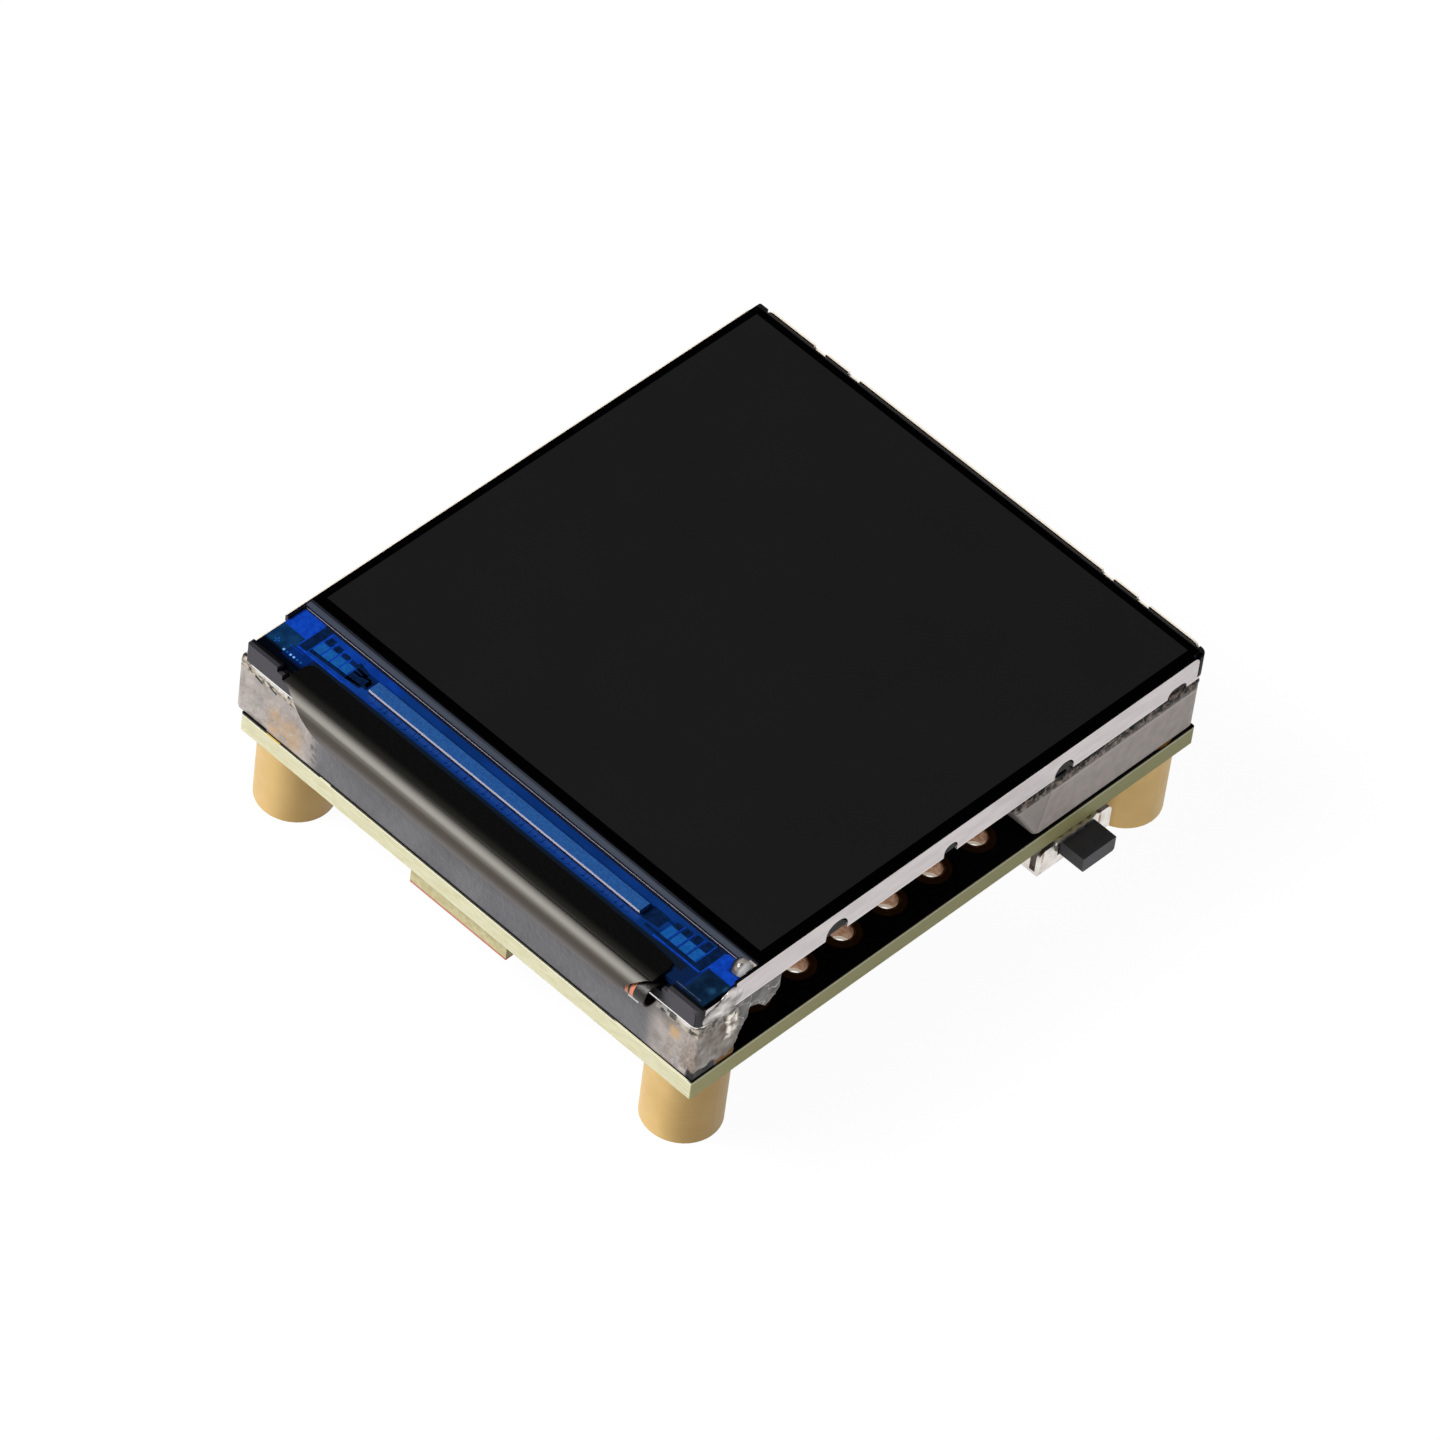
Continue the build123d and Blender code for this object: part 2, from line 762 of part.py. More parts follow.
def key_base(side):
    """Moulded key body with the pocket that the plunger and the dome sit in."""
    half = key_width / 2 - key_sheet
    y = key_centre_y
    x1 = key_front - key_sheet
    body = block(key_back, x1, y - half, y + half, key_bottom + key_sheet, board_bottom)
    pocket = plunger_flange_width / 2 + plunger_clearance
    top = plunger_top + plunger_clearance
    low = plunger_bottom - plunger_clearance
    body -= block(x1 - key_pocket_depth, x1, y - pocket, y + pocket, low, top)
    return on_key_side(body, side)


def key_cover(side):
    """Bent sheet cover: floor, two cheeks and a front with two rounded lobes."""
    y = key_centre_y
    half = key_width / 2
    opening = plunger_width / 2 + plunger_clearance
    sill = plunger_bottom - plunger_clearance
    x0 = key_front - key_sheet
    floor = block(key_back, key_front, y - half, y + half, key_bottom, key_bottom + key_sheet)
    plate = block(x0, key_front, y - half, y + half, key_bottom, plunger_top)
    plate -= block(x0, key_front, y - opening, y + opening, sill, plunger_top)
    plate = fillet(plate.edges().filter_by(Axis.X).group_by(Axis.Z)[-1], key_lobe_radius)
    pieces = [floor, plate]
    for s in (-1, 1):
        y0, y1 = sorted((y + s * half, y + s * (half - key_sheet)))
        pieces.append(
            block(key_back + key_cheek_back, key_front - key_cheek_front, y0, y1, key_bottom, plunger_top)
        )
    return on_key_side(fused(pieces), side)


def key_plunger(side):
    """Black push key with the flange that keeps it behind the cover."""
    y = key_centre_y
    half = plunger_width / 2
    wide = plunger_flange_width / 2
    x1 = key_front - key_sheet - fit_gap
    x0 = x1 - plunger_flange_depth
    stem = block(x0, key_front + plunger_reach, y - half, y + half, plunger_bottom, plunger_top)
    stem = fillet(stem.edges().filter_by(Axis.X).group_by(Axis.Z)[0], plunger_corner_radius)
    flange = block(x0, x1, y - wide, y + wide, plunger_bottom, plunger_top)
    return on_key_side(fused([stem, flange]), side)


def key_dome(side):
    """Bowed spring plate behind the plunger."""
    y = key_centre_y
    half = plunger_flange_width / 2 - plunger_clearance
    root = key_front - key_sheet - key_pocket_depth
    crown = root + dome_bulge - dome_thickness
    t = dome_thickness
    skin = make_face(
        ThreePointArc((root, y - half), (crown, y), (root, y + half))
        + Line((root, y + half), (root + t, y + half))
        + ThreePointArc((root + t, y + half), (crown + t, y), (root + t, y - half))
        + Line((root + t, y - half), (root, y - half))
    )
    plate = extrude(Pos(0, 0, plunger_bottom) * skin, plunger_height, dir=(0, 0, 1))
    return on_key_side(plate, side)


def key_legs(side):
    """Tinned legs at the back corners of a key."""
    legs = []
    z0 = board_bottom - key_leg_thickness
    for s in (-1, 1):
        y0, y1 = sorted((key_centre_y + s * (key_width / 2 - key_sheet), key_centre_y + s * key_leg_width))
        legs.append(on_key_side(block(key_back - key_leg_length, key_back, y0, y1, z0, board_bottom), side))
    return group(legs)


def antenna():
    """Ceramic chip antenna with a chamfered lower edge."""
    x0 = antenna_left_x
    y0 = antenna_front_y
    z1 = board_bottom - antenna_pad_thickness
    body = block(x0, x0 + antenna_length, y0, y0 + antenna_width, z1 - antenna_height, z1)
    return chamfer(body.edges().group_by(Axis.Z)[0], chip_chamfer)


def antenna_pads():
    """Solder pads under the two ends of the antenna."""
    y0 = antenna_front_y
    z0 = board_bottom - antenna_pad_thickness
    pads = []
    for x0 in (antenna_left_x, antenna_left_x + antenna_length - antenna_pad_length):
        pads.append(block(x0, x0 + antenna_pad_length, y0, y0 + antenna_width, z0, board_bottom))
    return group(pads)


def usb_inner():
    """The inside outline of the shell, drawn as (X, Z)."""
    return Pos(usb_centre_x, usb_middle) * RectangleRounded(
        usb_width - 2 * usb_wall, usb_height - 2 * usb_wall, usb_corner_radius - usb_wall
    )


def usb_shell():
    """Drawn steel shell, open to the back edge, with four legs in the board."""
    outer = Pos(usb_centre_x, usb_middle) * RectangleRounded(usb_width, usb_height, usb_corner_radius)
    pieces = [along_y(outer - usb_inner(), usb_front_y, usb_back_y)]
    half_x = usb_leg_thickness / 2
    half_y = usb_leg_width / 2
    top = board_bottom + usb_leg_depth
    for x, y in usb_leg_places():
        pieces.append(block(x - half_x, x + half_x, y - half_y, y + half_y, usb_middle, top))
    return fused(pieces)


def usb_core():
    """Moulded tongue and the block that fills the back of the shell."""
    back = along_y(usb_inner(), usb_back_y + usb_core_depth, usb_back_y)
    tongue = block(
        usb_centre_x - usb_tongue_width / 2,
        usb_centre_x + usb_tongue_width / 2,
        usb_back_y,
        usb_front_y - usb_tongue_setback,
        usb_middle - usb_tongue_thickness / 2,
        usb_middle + usb_tongue_thickness / 2,
    )
    tongue = chamfer(tongue.edges().filter_by(Axis.X).group_by(Axis.Y)[-1], usb_tongue_thickness / 4)
    return fused([back, tongue])


def usb_contacts():
    """Two rows of contacts on the tongue."""
    tip = usb_front_y - usb_tongue_setback - usb_tongue_thickness / 2
    root = tip - usb_contact_length
    upper = usb_middle + usb_tongue_thickness / 2
    lower = usb_middle - usb_tongue_thickness / 2
    first = usb_centre_x - (usb_contact_pitch * (usb_contact_count - 1) + usb_contact_width) / 2
    bars = []
    for number in range(usb_contact_count):
        x0 = first + number * usb_contact_pitch
        x1 = x0 + usb_contact_width
        bars.append(block(x0, x1, root, tip, upper, upper + usb_contact_thickness))
        bars.append(block(x0, x1, root, tip, lower - usb_contact_thickness, lower))
    return group(bars)


def battery_socket():
    """Moulded two-pole socket, open to the back edge, with a keyed mouth."""
    z1 = board_bottom
    z0 = z1 - socket_height
    x0 = socket_centre_x - socket_width / 2
    x1 = x0 + socket_width
    floor = z0 + socket_bottom
    inner_y = socket_back_y + socket_back_wall
    body = block(x0, x1, socket_back_y, socket_front_y, z0, z1)
    body -= block(x0 + socket_wall, x1 - socket_wall, inner_y, socket_front_y, floor, z1 - socket_wall)
    half = socket_key_width / 2
    for s in (-1, 1):
        x = socket_centre_x + s * socket_width / 4
        body -= block(x - half, x + half, socket_front_y - socket_key_depth, socket_front_y, z0, floor)
    return body


def battery_pins():
    """Two bent pins: a post in the mouth and a tail on the board."""
    z1 = board_bottom
    level = z1 - socket_height / 2 - socket_pin_drop
    inner_y = socket_back_y + socket_back_wall
    half = socket_pin_size / 2
    pins = []
    for s in (-1, 1):
        x = socket_centre_x + s * socket_pin_pitch / 2
        pins.append(block(x - half, x + half, inner_y, inner_y + socket_pin_reach, level - half, level + half))
        pins.append(
            block(x - half, x + half, socket_back_y - socket_tail_length, socket_back_y, z1 - socket_pin_size, z1)
        )
    return group(pins)


def chip(size):
    """A square chip body with a small chamfer on its outer face."""
    x, y, length, width, height = size
    body = block(
        x - length / 2, x + length / 2, y - width / 2, y + width / 2, board_bottom - height, board_bottom
    )
    return chamfer(body.edges().group_by(Axis.Z)[0], chip_chamfer)


def lead_profile(y, sign):
    """The bent shape of a small package's lead, drawn as (Y, Z)."""
    waist = board_bottom - (small_body_height + small_body_gap) / 2
    root = small_body_width / 2 - small_lead_root
    knee = small_body_width / 2 + small_lead_knee
    foot = small_lead_span / 2
    t = small_lead_thickness
    return outline([
        (y + sign * root, waist),
        (y + sign * knee, waist),
        (y + sign * (knee + small_lead_slope), board_bottom - t),
        (y + sign * foot, board_bottom - t),
        (y + sign * foot, board_bottom),
        (y + sign * (knee - t / 2), board_bottom),
        (y + sign * (knee - t / 2 - small_lead_slope), waist + t),
        (y + sign * root, waist + t),
    ])


def small_package(centre, legs_low, legs_high):
    """A moulded small package with bent leads on its two long sides."""
    x, y = centre
    z0 = board_bottom - small_body_height
    z1 = board_bottom - small_body_gap
    half_l = small_body_length / 2
    half_w = small_body_width / 2
    body = block(x - half_l, x + half_l, y - half_w, y + half_w, z0, z1)
    pieces = [chamfer(body.edges().group_by(Axis.Z)[0], small_body_chamfer)]
    for sign, count in ((-1, legs_low), (1, legs_high)):
        lead = lead_profile(y, sign)
        step = small_lead_row / max(count - 1, 1)
        first = x - (step * (count - 1) + small_lead_width) / 2
        for number in range(count):
            x0 = first + number * step
            pieces.append(along_x(lead, x0, x0 + small_lead_width))
    return fused(pieces)


def passive(x, y, height, turned):
    """A small chip component with its two end caps, seen as one block."""
    length, width = (passive_width, passive_length) if turned else (passive_length, passive_width)
    return block(
        x - length / 2, x + length / 2, y - width / 2, y + width / 2, board_bottom - height, board_bottom
    )


def capacitors():
    """Capacitors on three sides of the processor and one at the antenna feed."""
    px, py, size_x, size_y, _ = processor_size
    first_x = px - 1.5 * capacitor_pitch
    first_y = py - capacitor_side_pitch
    beside = size_y / 2 + passive_distance
    places = []
    for number in range(4):
        x = first_x + number * capacitor_pitch
        places.append((x, py + beside, False))
        places.append((x, py - beside, False))
    for number in range(3):
        places.append((px + size_x / 2 + passive_distance, first_y + number * capacitor_side_pitch, True))
    places.append((antenna_centre_x, feed_y, True))
    return group([passive(x, y, capacitor_height, turned) for x, y, turned in places])


def resistors():
    """Resistors behind the USB receptacle, beside the switch and at the antenna feed."""
    switch_x, switch_y = driver_switch_centre
    places = []
    for number in range(5):
        x = usb_centre_x + (number - 2) * resistor_pitch
        places.append((x, usb_back_y - passive_length, True))
    for number in range(3):
        x = switch_x + small_body_length / 2 + 1.5 * resistor_close_pitch + number * resistor_close_pitch
        places.append((x, switch_y, True))
    for side in (-1, 1):
        places.append((antenna_centre_x + side * feed_distance, feed_y, False))
    return group([passive(x, y, resistor_height, turned) for x, y, turned in places])


def indicators():
    """Two small indicator lamps."""
    half_l = indicator_length / 2
    half_w = indicator_width / 2
    x, first_y = indicator_centre
    pieces = []
    for number in range(2):
        y = first_y + number * indicator_pitch
        z0 = board_bottom - indicator_height
        body = block(x - half_l, x + half_l, y - half_w, y + half_w, z0, board_bottom)
        pieces.append(chamfer(body.edges().group_by(Axis.Z)[0], indicator_chamfer))
    return group(pieces)


nodes = {
    "circuit_board": circuit_board(),
    "mount_rings": mount_rings(),
    "header_plating": header_plating(),
    "standoffs": group([standoff(x, y) for x, y in standoff_places()]),
    "front_gel": front_gel(),
    "back_gel": back_gel(),
    "display_tray": display_tray(),
    "backlight_frame": backlight_frame(),
    "reflector_sheet": reflector(),
    "light_guide": window_sheet(window_front_y, guide_bottom, guide_thickness),
    "diffuser_film": window_sheet(film_front_y, film_bottom, film_thickness),
    "prism_film": window_sheet(film_front_y, film_bottom + film_thickness, film_thickness),
    "rear_polarizer": window_sheet(film_front_y, rear_polarizer_bottom, polarizer_thickness),
    "lower_glass": glass_plate(lower_glass_front_y, glass_back_y, lower_glass_bottom, lower_glass_thickness),
    "upper_glass": glass_plate(upper_glass_front_y, glass_back_y, ledge_level, upper_glass_thickness),
    "front_polarizer": glass_plate(
        upper_glass_front_y + polarizer_front_inset,
        glass_back_y - polarizer_back_inset,
        front_polarizer_bottom,
        front_polarizer_thickness,
    ),
    "driver_chip": driver_chip(),
    "display_cable": display_cable(),
    "cable_joints": cable_joints(),
    "lamp_cable": lamp_cable(),
    "backlight_lamps": lamps(),
    "glue_dot": glue_dot(),
    "antenna": antenna(),
    "antenna_pads": antenna_pads(),
    "usb_shell": usb_shell(),
    "usb_core": usb_core(),
    "usb_contacts": usb_contacts(),
    "battery_socket": battery_socket(),
    "battery_pins": battery_pins(),
    "processor_chip": chip(processor_size),
    "memory_chip": chip(memory_size),
    "crystal": chip(crystal_size),
    "motion_sensor": chip(sensor_size),
    "power_coil": chip(coil_size),
    "regulator": small_package(regulator_centre, 3, 2),
    "charger": small_package(charger_centre, 3, 2),
    "backlight_switch": small_package(driver_switch_centre, 2, 1),
    "capacitors": capacitors(),
    "resistors": resistors(),
    "indicator_lamps": indicators(),
}

for name, side in (("right", 1), ("left", -1)):
    nodes[f"{name}_key_base"] = key_base(side)
    nodes[f"{name}_key_cover"] = key_cover(side)
    nodes[f"{name}_key_plunger"] = key_plunger(side)
    nodes[f"{name}_key_dome"] = key_dome(side)
    nodes[f"{name}_key_legs"] = key_legs(side)

os.makedirs("parts", exist_ok=True)
for name, shape in nodes.items():
    export_step(shape, f"parts/{name}.step")
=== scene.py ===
import bpy
import math
from mathutils import Matrix, Vector


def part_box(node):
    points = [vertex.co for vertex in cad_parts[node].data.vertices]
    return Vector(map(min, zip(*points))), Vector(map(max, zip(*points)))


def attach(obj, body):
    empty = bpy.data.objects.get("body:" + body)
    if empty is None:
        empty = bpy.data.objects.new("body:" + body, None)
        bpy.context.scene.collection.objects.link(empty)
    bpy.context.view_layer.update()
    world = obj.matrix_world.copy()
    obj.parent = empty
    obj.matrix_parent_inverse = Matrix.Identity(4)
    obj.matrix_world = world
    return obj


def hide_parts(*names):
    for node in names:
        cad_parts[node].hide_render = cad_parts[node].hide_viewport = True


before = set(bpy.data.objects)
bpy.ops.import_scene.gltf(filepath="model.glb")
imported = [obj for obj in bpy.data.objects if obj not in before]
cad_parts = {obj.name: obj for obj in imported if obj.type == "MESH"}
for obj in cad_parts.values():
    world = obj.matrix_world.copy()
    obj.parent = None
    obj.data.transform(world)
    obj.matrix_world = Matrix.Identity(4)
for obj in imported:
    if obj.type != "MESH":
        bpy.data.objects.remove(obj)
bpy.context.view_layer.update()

# ---------------------------------------------------------------- circuit board
# A black glass-fibre board, 25.3 x 28.6 x 1 mm, milled out of a panel.
# Both faces carry gloss solder mask, and the cut edges show the pale resin.

MM = 0.001


def tone(red, green, blue):
    """A display colour, 0 to 255, as the renderer's linear colour."""
    linear = []
    for value in (red, green, blue):
        share = value / 255
        linear.append(share / 12.92 if share <= 0.04045 else ((share + 0.055) / 1.055) ** 2.4)
    return (*linear, 1.0)


class Finish:
    """A surface: a ground colour with coats laid over it. Places and sizes are in millimetres."""

    def __init__(self, name, colour, roughness, metallic=0.0, specular=0.5):
        self.material = bpy.data.materials.new(name)
        self.material.use_nodes = True
        self.tree = self.material.node_tree
        self.shader = self.tree.nodes["Principled BSDF"].inputs
        self.shader["Base Color"].default_value = tone(*colour)
        self.shader["Roughness"].default_value = roughness
        self.shader["Metallic"].default_value = metallic
        self.shader["Specular IOR Level"].default_value = specular
        point = self.tree.nodes.new("ShaderNodeTexCoord")
        self.place = point.outputs["Object"]
        self.at = self.split(self.place)
        self.facing = self.split(point.outputs["Normal"])

    def split(self, vector):
        """A vector's three parts, by letter."""
        node = self.tree.nodes.new("ShaderNodeSeparateXYZ")
        self.tree.links.new(vector, node.inputs[0])
        return node.outputs

    def feed(self, value, socket):
        """Links an output to a socket, or sets the socket to a number or a display colour."""
        if isinstance(value, bpy.types.NodeSocket):
            self.tree.links.new(value, socket)
        else:
            socket.default_value = tone(*value) if isinstance(value, tuple) else value

    def reckon(self, operation, *values):
        """The result of one step of arithmetic."""
        node = self.tree.nodes.new("ShaderNodeMath")
        node.operation = operation
        for number, value in enumerate(values):
            self.feed(value, node.inputs[number])
        return node.outputs[0]

    def times(self, one, other):
        return self.reckon("MULTIPLY", one, other)

    def rest_of(self, share):
        """What a share leaves of 1."""
        return self.reckon("SUBTRACT", 1.0, share)

    def either(self, first, *others):
        """The largest of several shares."""
        for other in others:
            first = self.reckon("MAXIMUM", first, other)
        return first

    def past(self, letter, level):
        """1 beyond a place on an axis."""
        return self.reckon("GREATER_THAN", self.at[letter], level * MM)

    def before(self, letter, level):
        """1 short of a place on an axis."""
        return self.reckon("LESS_THAN", self.at[letter], level * MM)

    def turned(self, letter, least):
        """1 on faces turned along an axis, or against it where least is negative."""
        return self.reckon("GREATER_THAN" if least > 0 else "LESS_THAN", self.facing[letter], least)

    def across(self, letter, least):
        """1 on faces turned either way along an axis."""
        return self.reckon("GREATER_THAN", self.reckon("ABSOLUTE", self.facing[letter]), least)

    def rise(self, value, low, high, start=0.0, end=1.0):
        """Goes smoothly from start to end while a value goes from low to high."""
        fade = self.tree.nodes.new("ShaderNodeMapRange")
        fade.interpolation_type = "SMOOTHSTEP"
        self.feed(value, fade.inputs["Value"])
        for name, number in (("From Min", low), ("From Max", high), ("To Min", start), ("To Max", end)):
            fade.inputs[name].default_value = number
        return fade.outputs["Result"]

    def along(self, letter, low, high):
        """Goes smoothly from 0 to 1 between two places on an axis."""
        return self.rise(self.at[letter], low * MM, high * MM)

    def band(self, letter, low, high, soft=0.0):
        """1 between two places on an axis, with an edge that fades over soft."""
        middle, half = (low + high) / 2 * MM, (high - low) / 2
        if soft == 0.0:
            return self.reckon("COMPARE", self.at[letter], middle, half * MM)
        distance = self.reckon("ABSOLUTE", self.reckon("SUBTRACT", self.at[letter], middle))
        return self.rise(distance, half * MM, (half + soft) * MM, 1.0, 0.0)

    def patch(self, x=None, y=None, z=None, soft=0.0):
        """1 inside a box given by its reach along each axis."""
        inside = None
        for letter, reach in (("X", x), ("Y", y), ("Z", z)):
            if reach:
                share = self.band(letter, *reach, soft)
                inside = self.times(inside, share) if inside else share
        return inside

    def grain(self, size, low=0.0, high=1.0, detail=2.0, stretch=(1, 1, 1), turn=(0, 0, 0)):
        """Cloudy variation between low and high, whose patches are about size across."""
        mapping = self.tree.nodes.new("ShaderNodeMapping")
        mapping.inputs["Scale"].default_value = stretch
        mapping.inputs["Rotation"].default_value = turn
        self.tree.links.new(self.place, mapping.inputs["Vector"])
        noise = self.tree.nodes.new("ShaderNodeTexNoise")
        noise.inputs["Scale"].default_value = 1000 / size
        noise.inputs["Detail"].default_value = detail
        self.tree.links.new(mapping.outputs[0], noise.inputs["Vector"])
        return self.spread(noise.outputs[0], 0.35, 0.65, low, high)

    def spread(self, value, low, high, start, end):
        """Goes evenly from start to end while a value goes from low to high."""
        node = self.tree.nodes.new("ShaderNodeMapRange")
        self.feed(value, node.inputs["Value"])
        for name, number in (("From Min", low), ("From Max", high), ("To Min", start), ("To Max", end)):
            node.inputs[name].default_value = number
        return node.outputs["Result"]

    def mixed(self, under, over, share):
        """One colour over another by a share from 0 to 1."""
        node = self.tree.nodes.new("ShaderNodeMix")
        node.data_type = "RGBA"
        # of the node's inputs, 6 and 7 are the two colours
        for number, value in ((0, share), (6, under), (7, over)):
            self.feed(value, node.inputs[number])
        return node.outputs[2]

    def ground(self, under, over, share):
        """Starts the coats with two colours."""
        self.look = under
        self.coat(over, share)

    def coat(self, over, share, strength=None):
        """Lays a colour over the coats so far, by a share and its strength."""
        if strength is not None:
            share = self.times(share, strength)
        self.look = self.mixed(self.look, over, share)
        self.feed(self.look, self.shader["Base Color"])

    def gloss(self, roughness):
        self.feed(roughness, self.shader["Roughness"])

    def relief(self, height, depth):
        """Fine relief of the surface."""
        bump = self.tree.nodes.new("ShaderNodeBump")
        bump.inputs["Distance"].default_value = depth * MM
        bump.inputs["Strength"].default_value = 1.0
        self.tree.links.new(height, bump.inputs["Height"])
        self.tree.links.new(bump.outputs[0], self.shader["Normal"])

    def tooth(self, size, depth, **more):
        """Cloudy relief, whose patches are about size across."""
        self.relief(self.grain(size, **more), depth)

    def dress(self, *names):
        """Gives CAD pieces this finish."""
        for name in names:
            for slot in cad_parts[name].material_slots:
                slot.material = self.material


board = Finish("board_mask_and_edge", (6, 6, 7), 0.35, specular=0.08)
board.ground((236, 232, 196), (224, 218, 176), board.grain(0.5, stretch=(1, 1, 4)))
board.coat((242, 240, 212), board.grain(0.12, stretch=(0.12, 0.12, 1)), 0.35)
key_side = board.turned("X", 0.5)
# the cut edge on the key side is painted darker and more olive, a painted shade on the side turned from the lamp
board.coat((214, 210, 140), key_side, 0.8)
# a thin painted highlight along the top of the cut edge, just under the mask
board.coat((255, 252, 222), board.band("Z", 4.34, 4.41))
# the mask's dark edge reaches lower on the front side, and breaks off twice there
mask_level = board.reckon("ADD", 4.41 * MM, board.times(key_side, 0.05 * MM))
mask_line = board.reckon("GREATER_THAN", board.at["Z"], mask_level)
flooded = board.either(board.patch(x=(8.6, 12.3), y=(-14.5, -14.2), soft=0.3),
                       board.patch(x=(-8.1, -7.6), y=(-14.5, -14.2), soft=0.1))
board.coat((20, 20, 16), board.times(mask_line, board.rest_of(flooded)), 0.9)
board.coat((222, 186, 82), board.patch(x=(-11.2, -10.45), y=(-14.5, -14.2), z=(4.38, 4.52)))
# the copper ring under the mask round each header hole
hole_x, hole_y, half_pitch, ring_radius, row_reach = 11.0, -1.79, 1.27, 0.85, (-10.4, 4.4)
repeated = board.reckon("WRAP", board.at["Y"], (hole_y + half_pitch) * MM, (hole_y - half_pitch) * MM)
down = board.reckon("SUBTRACT", repeated, hole_y * MM)
sideways = board.reckon("SUBTRACT", board.reckon("ABSOLUTE", board.at["X"]), hole_x * MM)
squares = board.reckon("ADD", board.times(down, down), board.times(sideways, sideways))
in_ring = board.reckon("LESS_THAN", board.reckon("SQRT", squares), ring_radius * MM)
mask = board.mixed((4, 4, 5), (14, 14, 16), board.grain(0.25, -0.6))
mask = board.mixed(mask, (70, 42, 14), board.times(in_ring, board.band("Y", *row_reach)))
# the mask covers both flat faces
board.coat(mask, board.across("Z", 0.7))
board.dress("circuit_board")

# ---------------------------------------------------------------- plated parts of the board
# Copper barrels line the header holes, and a gilt solder ring lies round each
# standoff; both are plated with the board and then flashed with gold.

barrel = Finish("plated_barrel", (214, 160, 118), 0.35, metallic=0.35)
barrel.ground((226, 178, 138), (176, 122, 82), barrel.grain(0.2))
barrel.coat((250, 236, 214), barrel.before("Z", 3.66))
barrel.coat((120, 76, 34), barrel.past("Z", 4.47))
barrel.tooth(0.12, 0.01)
barrel.dress("header_plating")

gilt = Finish("gilt_ring", (222, 172, 62), 0.28, metallic=0.8)
gilt.ground((232, 184, 70), (190, 138, 48), gilt.grain(0.25))
gilt.tooth(0.1, 0.006)
gilt.dress("mount_rings", "usb_contacts")

# ---------------------------------------------------------------- standoffs
# Four brass standoffs turned from round bar and bored from below, with the
# turning marks running round the body. Their spigots are soldered in.

brass = Finish("turned_brass", (226, 190, 122), 0.45, metallic=0.55)
brass.ground((234, 198, 130), (226, 189, 120), brass.grain(1.5))
turning = brass.grain(0.05, stretch=(0.02, 0.02, 1))
brass.coat((204, 164, 96), turning, 0.12)
# the front standoffs are painted darker towards their +X side, a painted shade on the side away from the lamp
brass.coat((126, 96, 44), brass.rise(brass.facing["X"], 0.1, 0.95, 0.0, 0.56), brass.before("Y", 0.0))
# a painted shadow on the far key-side standoff, under the board and the key
brass.coat((120, 90, 40), brass.patch(x=(9.2, 11.4), y=(10.8, 12.2), soft=0.5), 0.55)
brass.relief(turning, 0.004)
brass.dress("standoffs")

# ---------------------------------------------------------------- front gel strip
# Clear silicone poured between the board and the display at the cable side. It
# took up dust and flux at its rim and was torn off at the key side.


def part_copy(name, node):
    """A copy of a CAD piece with merged points, to be shaped further."""
    bpy.ops.object.select_all(action="DESELECT")
    made = bpy.data.objects.new(name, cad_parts[node].data.copy())
    bpy.context.scene.collection.objects.link(made)
    bpy.context.view_layer.objects.active = made
    made.select_set(True)
    bpy.ops.object.mode_set(mode="EDIT")
    bpy.ops.mesh.select_all(action="SELECT")
    bpy.ops.mesh.remove_doubles(threshold=0.000001)
    bpy.ops.object.mode_set(mode="OBJECT")
    return made


def put_on(made, finish):
    made.data.materials.clear()
    made.data.materials.append(finish.material)


def even_skin(made, size):
    """Remakes a piece's skin in even small faces of size millimetres."""
    remesh = made.modifiers.new("skin", "REMESH")
    remesh.mode = "VOXEL"
    remesh.voxel_size = size * MM
    remesh.use_smooth_shade = True
    bpy.ops.object.modifier_apply(modifier="skin")


def roughen(made, name, size, depth, chosen):
    """Pushes the chosen points in and out by cloudy relief, depth in millimetres."""
    group = made.vertex_groups.new(name=name)
    for vertex in made.data.vertices:
        weight = chosen(*(value / MM for value in vertex.co))
        if weight > 0:
            group.add([vertex.index], weight, "REPLACE")
    cloud = bpy.data.textures.new(name, "CLOUDS")
    cloud.noise_scale = size * MM
    cloud.noise_depth = 3
    push = made.modifiers.new(name, "DISPLACE")
    push.texture = cloud
    push.texture_coords = "LOCAL"
    push.strength = depth * MM
    push.mid_level = 0.5
    push.vertex_group = name
    bpy.ops.object.modifier_apply(modifier=name)


def veins(finish, size, width, detail=3.0, stretch=(1, 1, 1)):
    """Thin wandering lines, about size apart; width is the share they cover."""
    cloud = finish.grain(size, detail=detail, stretch=stretch)
    distance = finish.reckon("ABSOLUTE", finish.reckon("SUBTRACT", cloud, 0.5))
    return finish.spread(distance, 0.0, width, 1.0, 0.0)


gel = Finish("front_gel", (117, 116, 120), 0.35, specular=0.3)
gel.ground((190, 180, 174), (150, 141, 137), gel.grain(1.1, detail=5))
gel.coat((214, 206, 200), gel.grain(0.3, detail=4), 0.3)
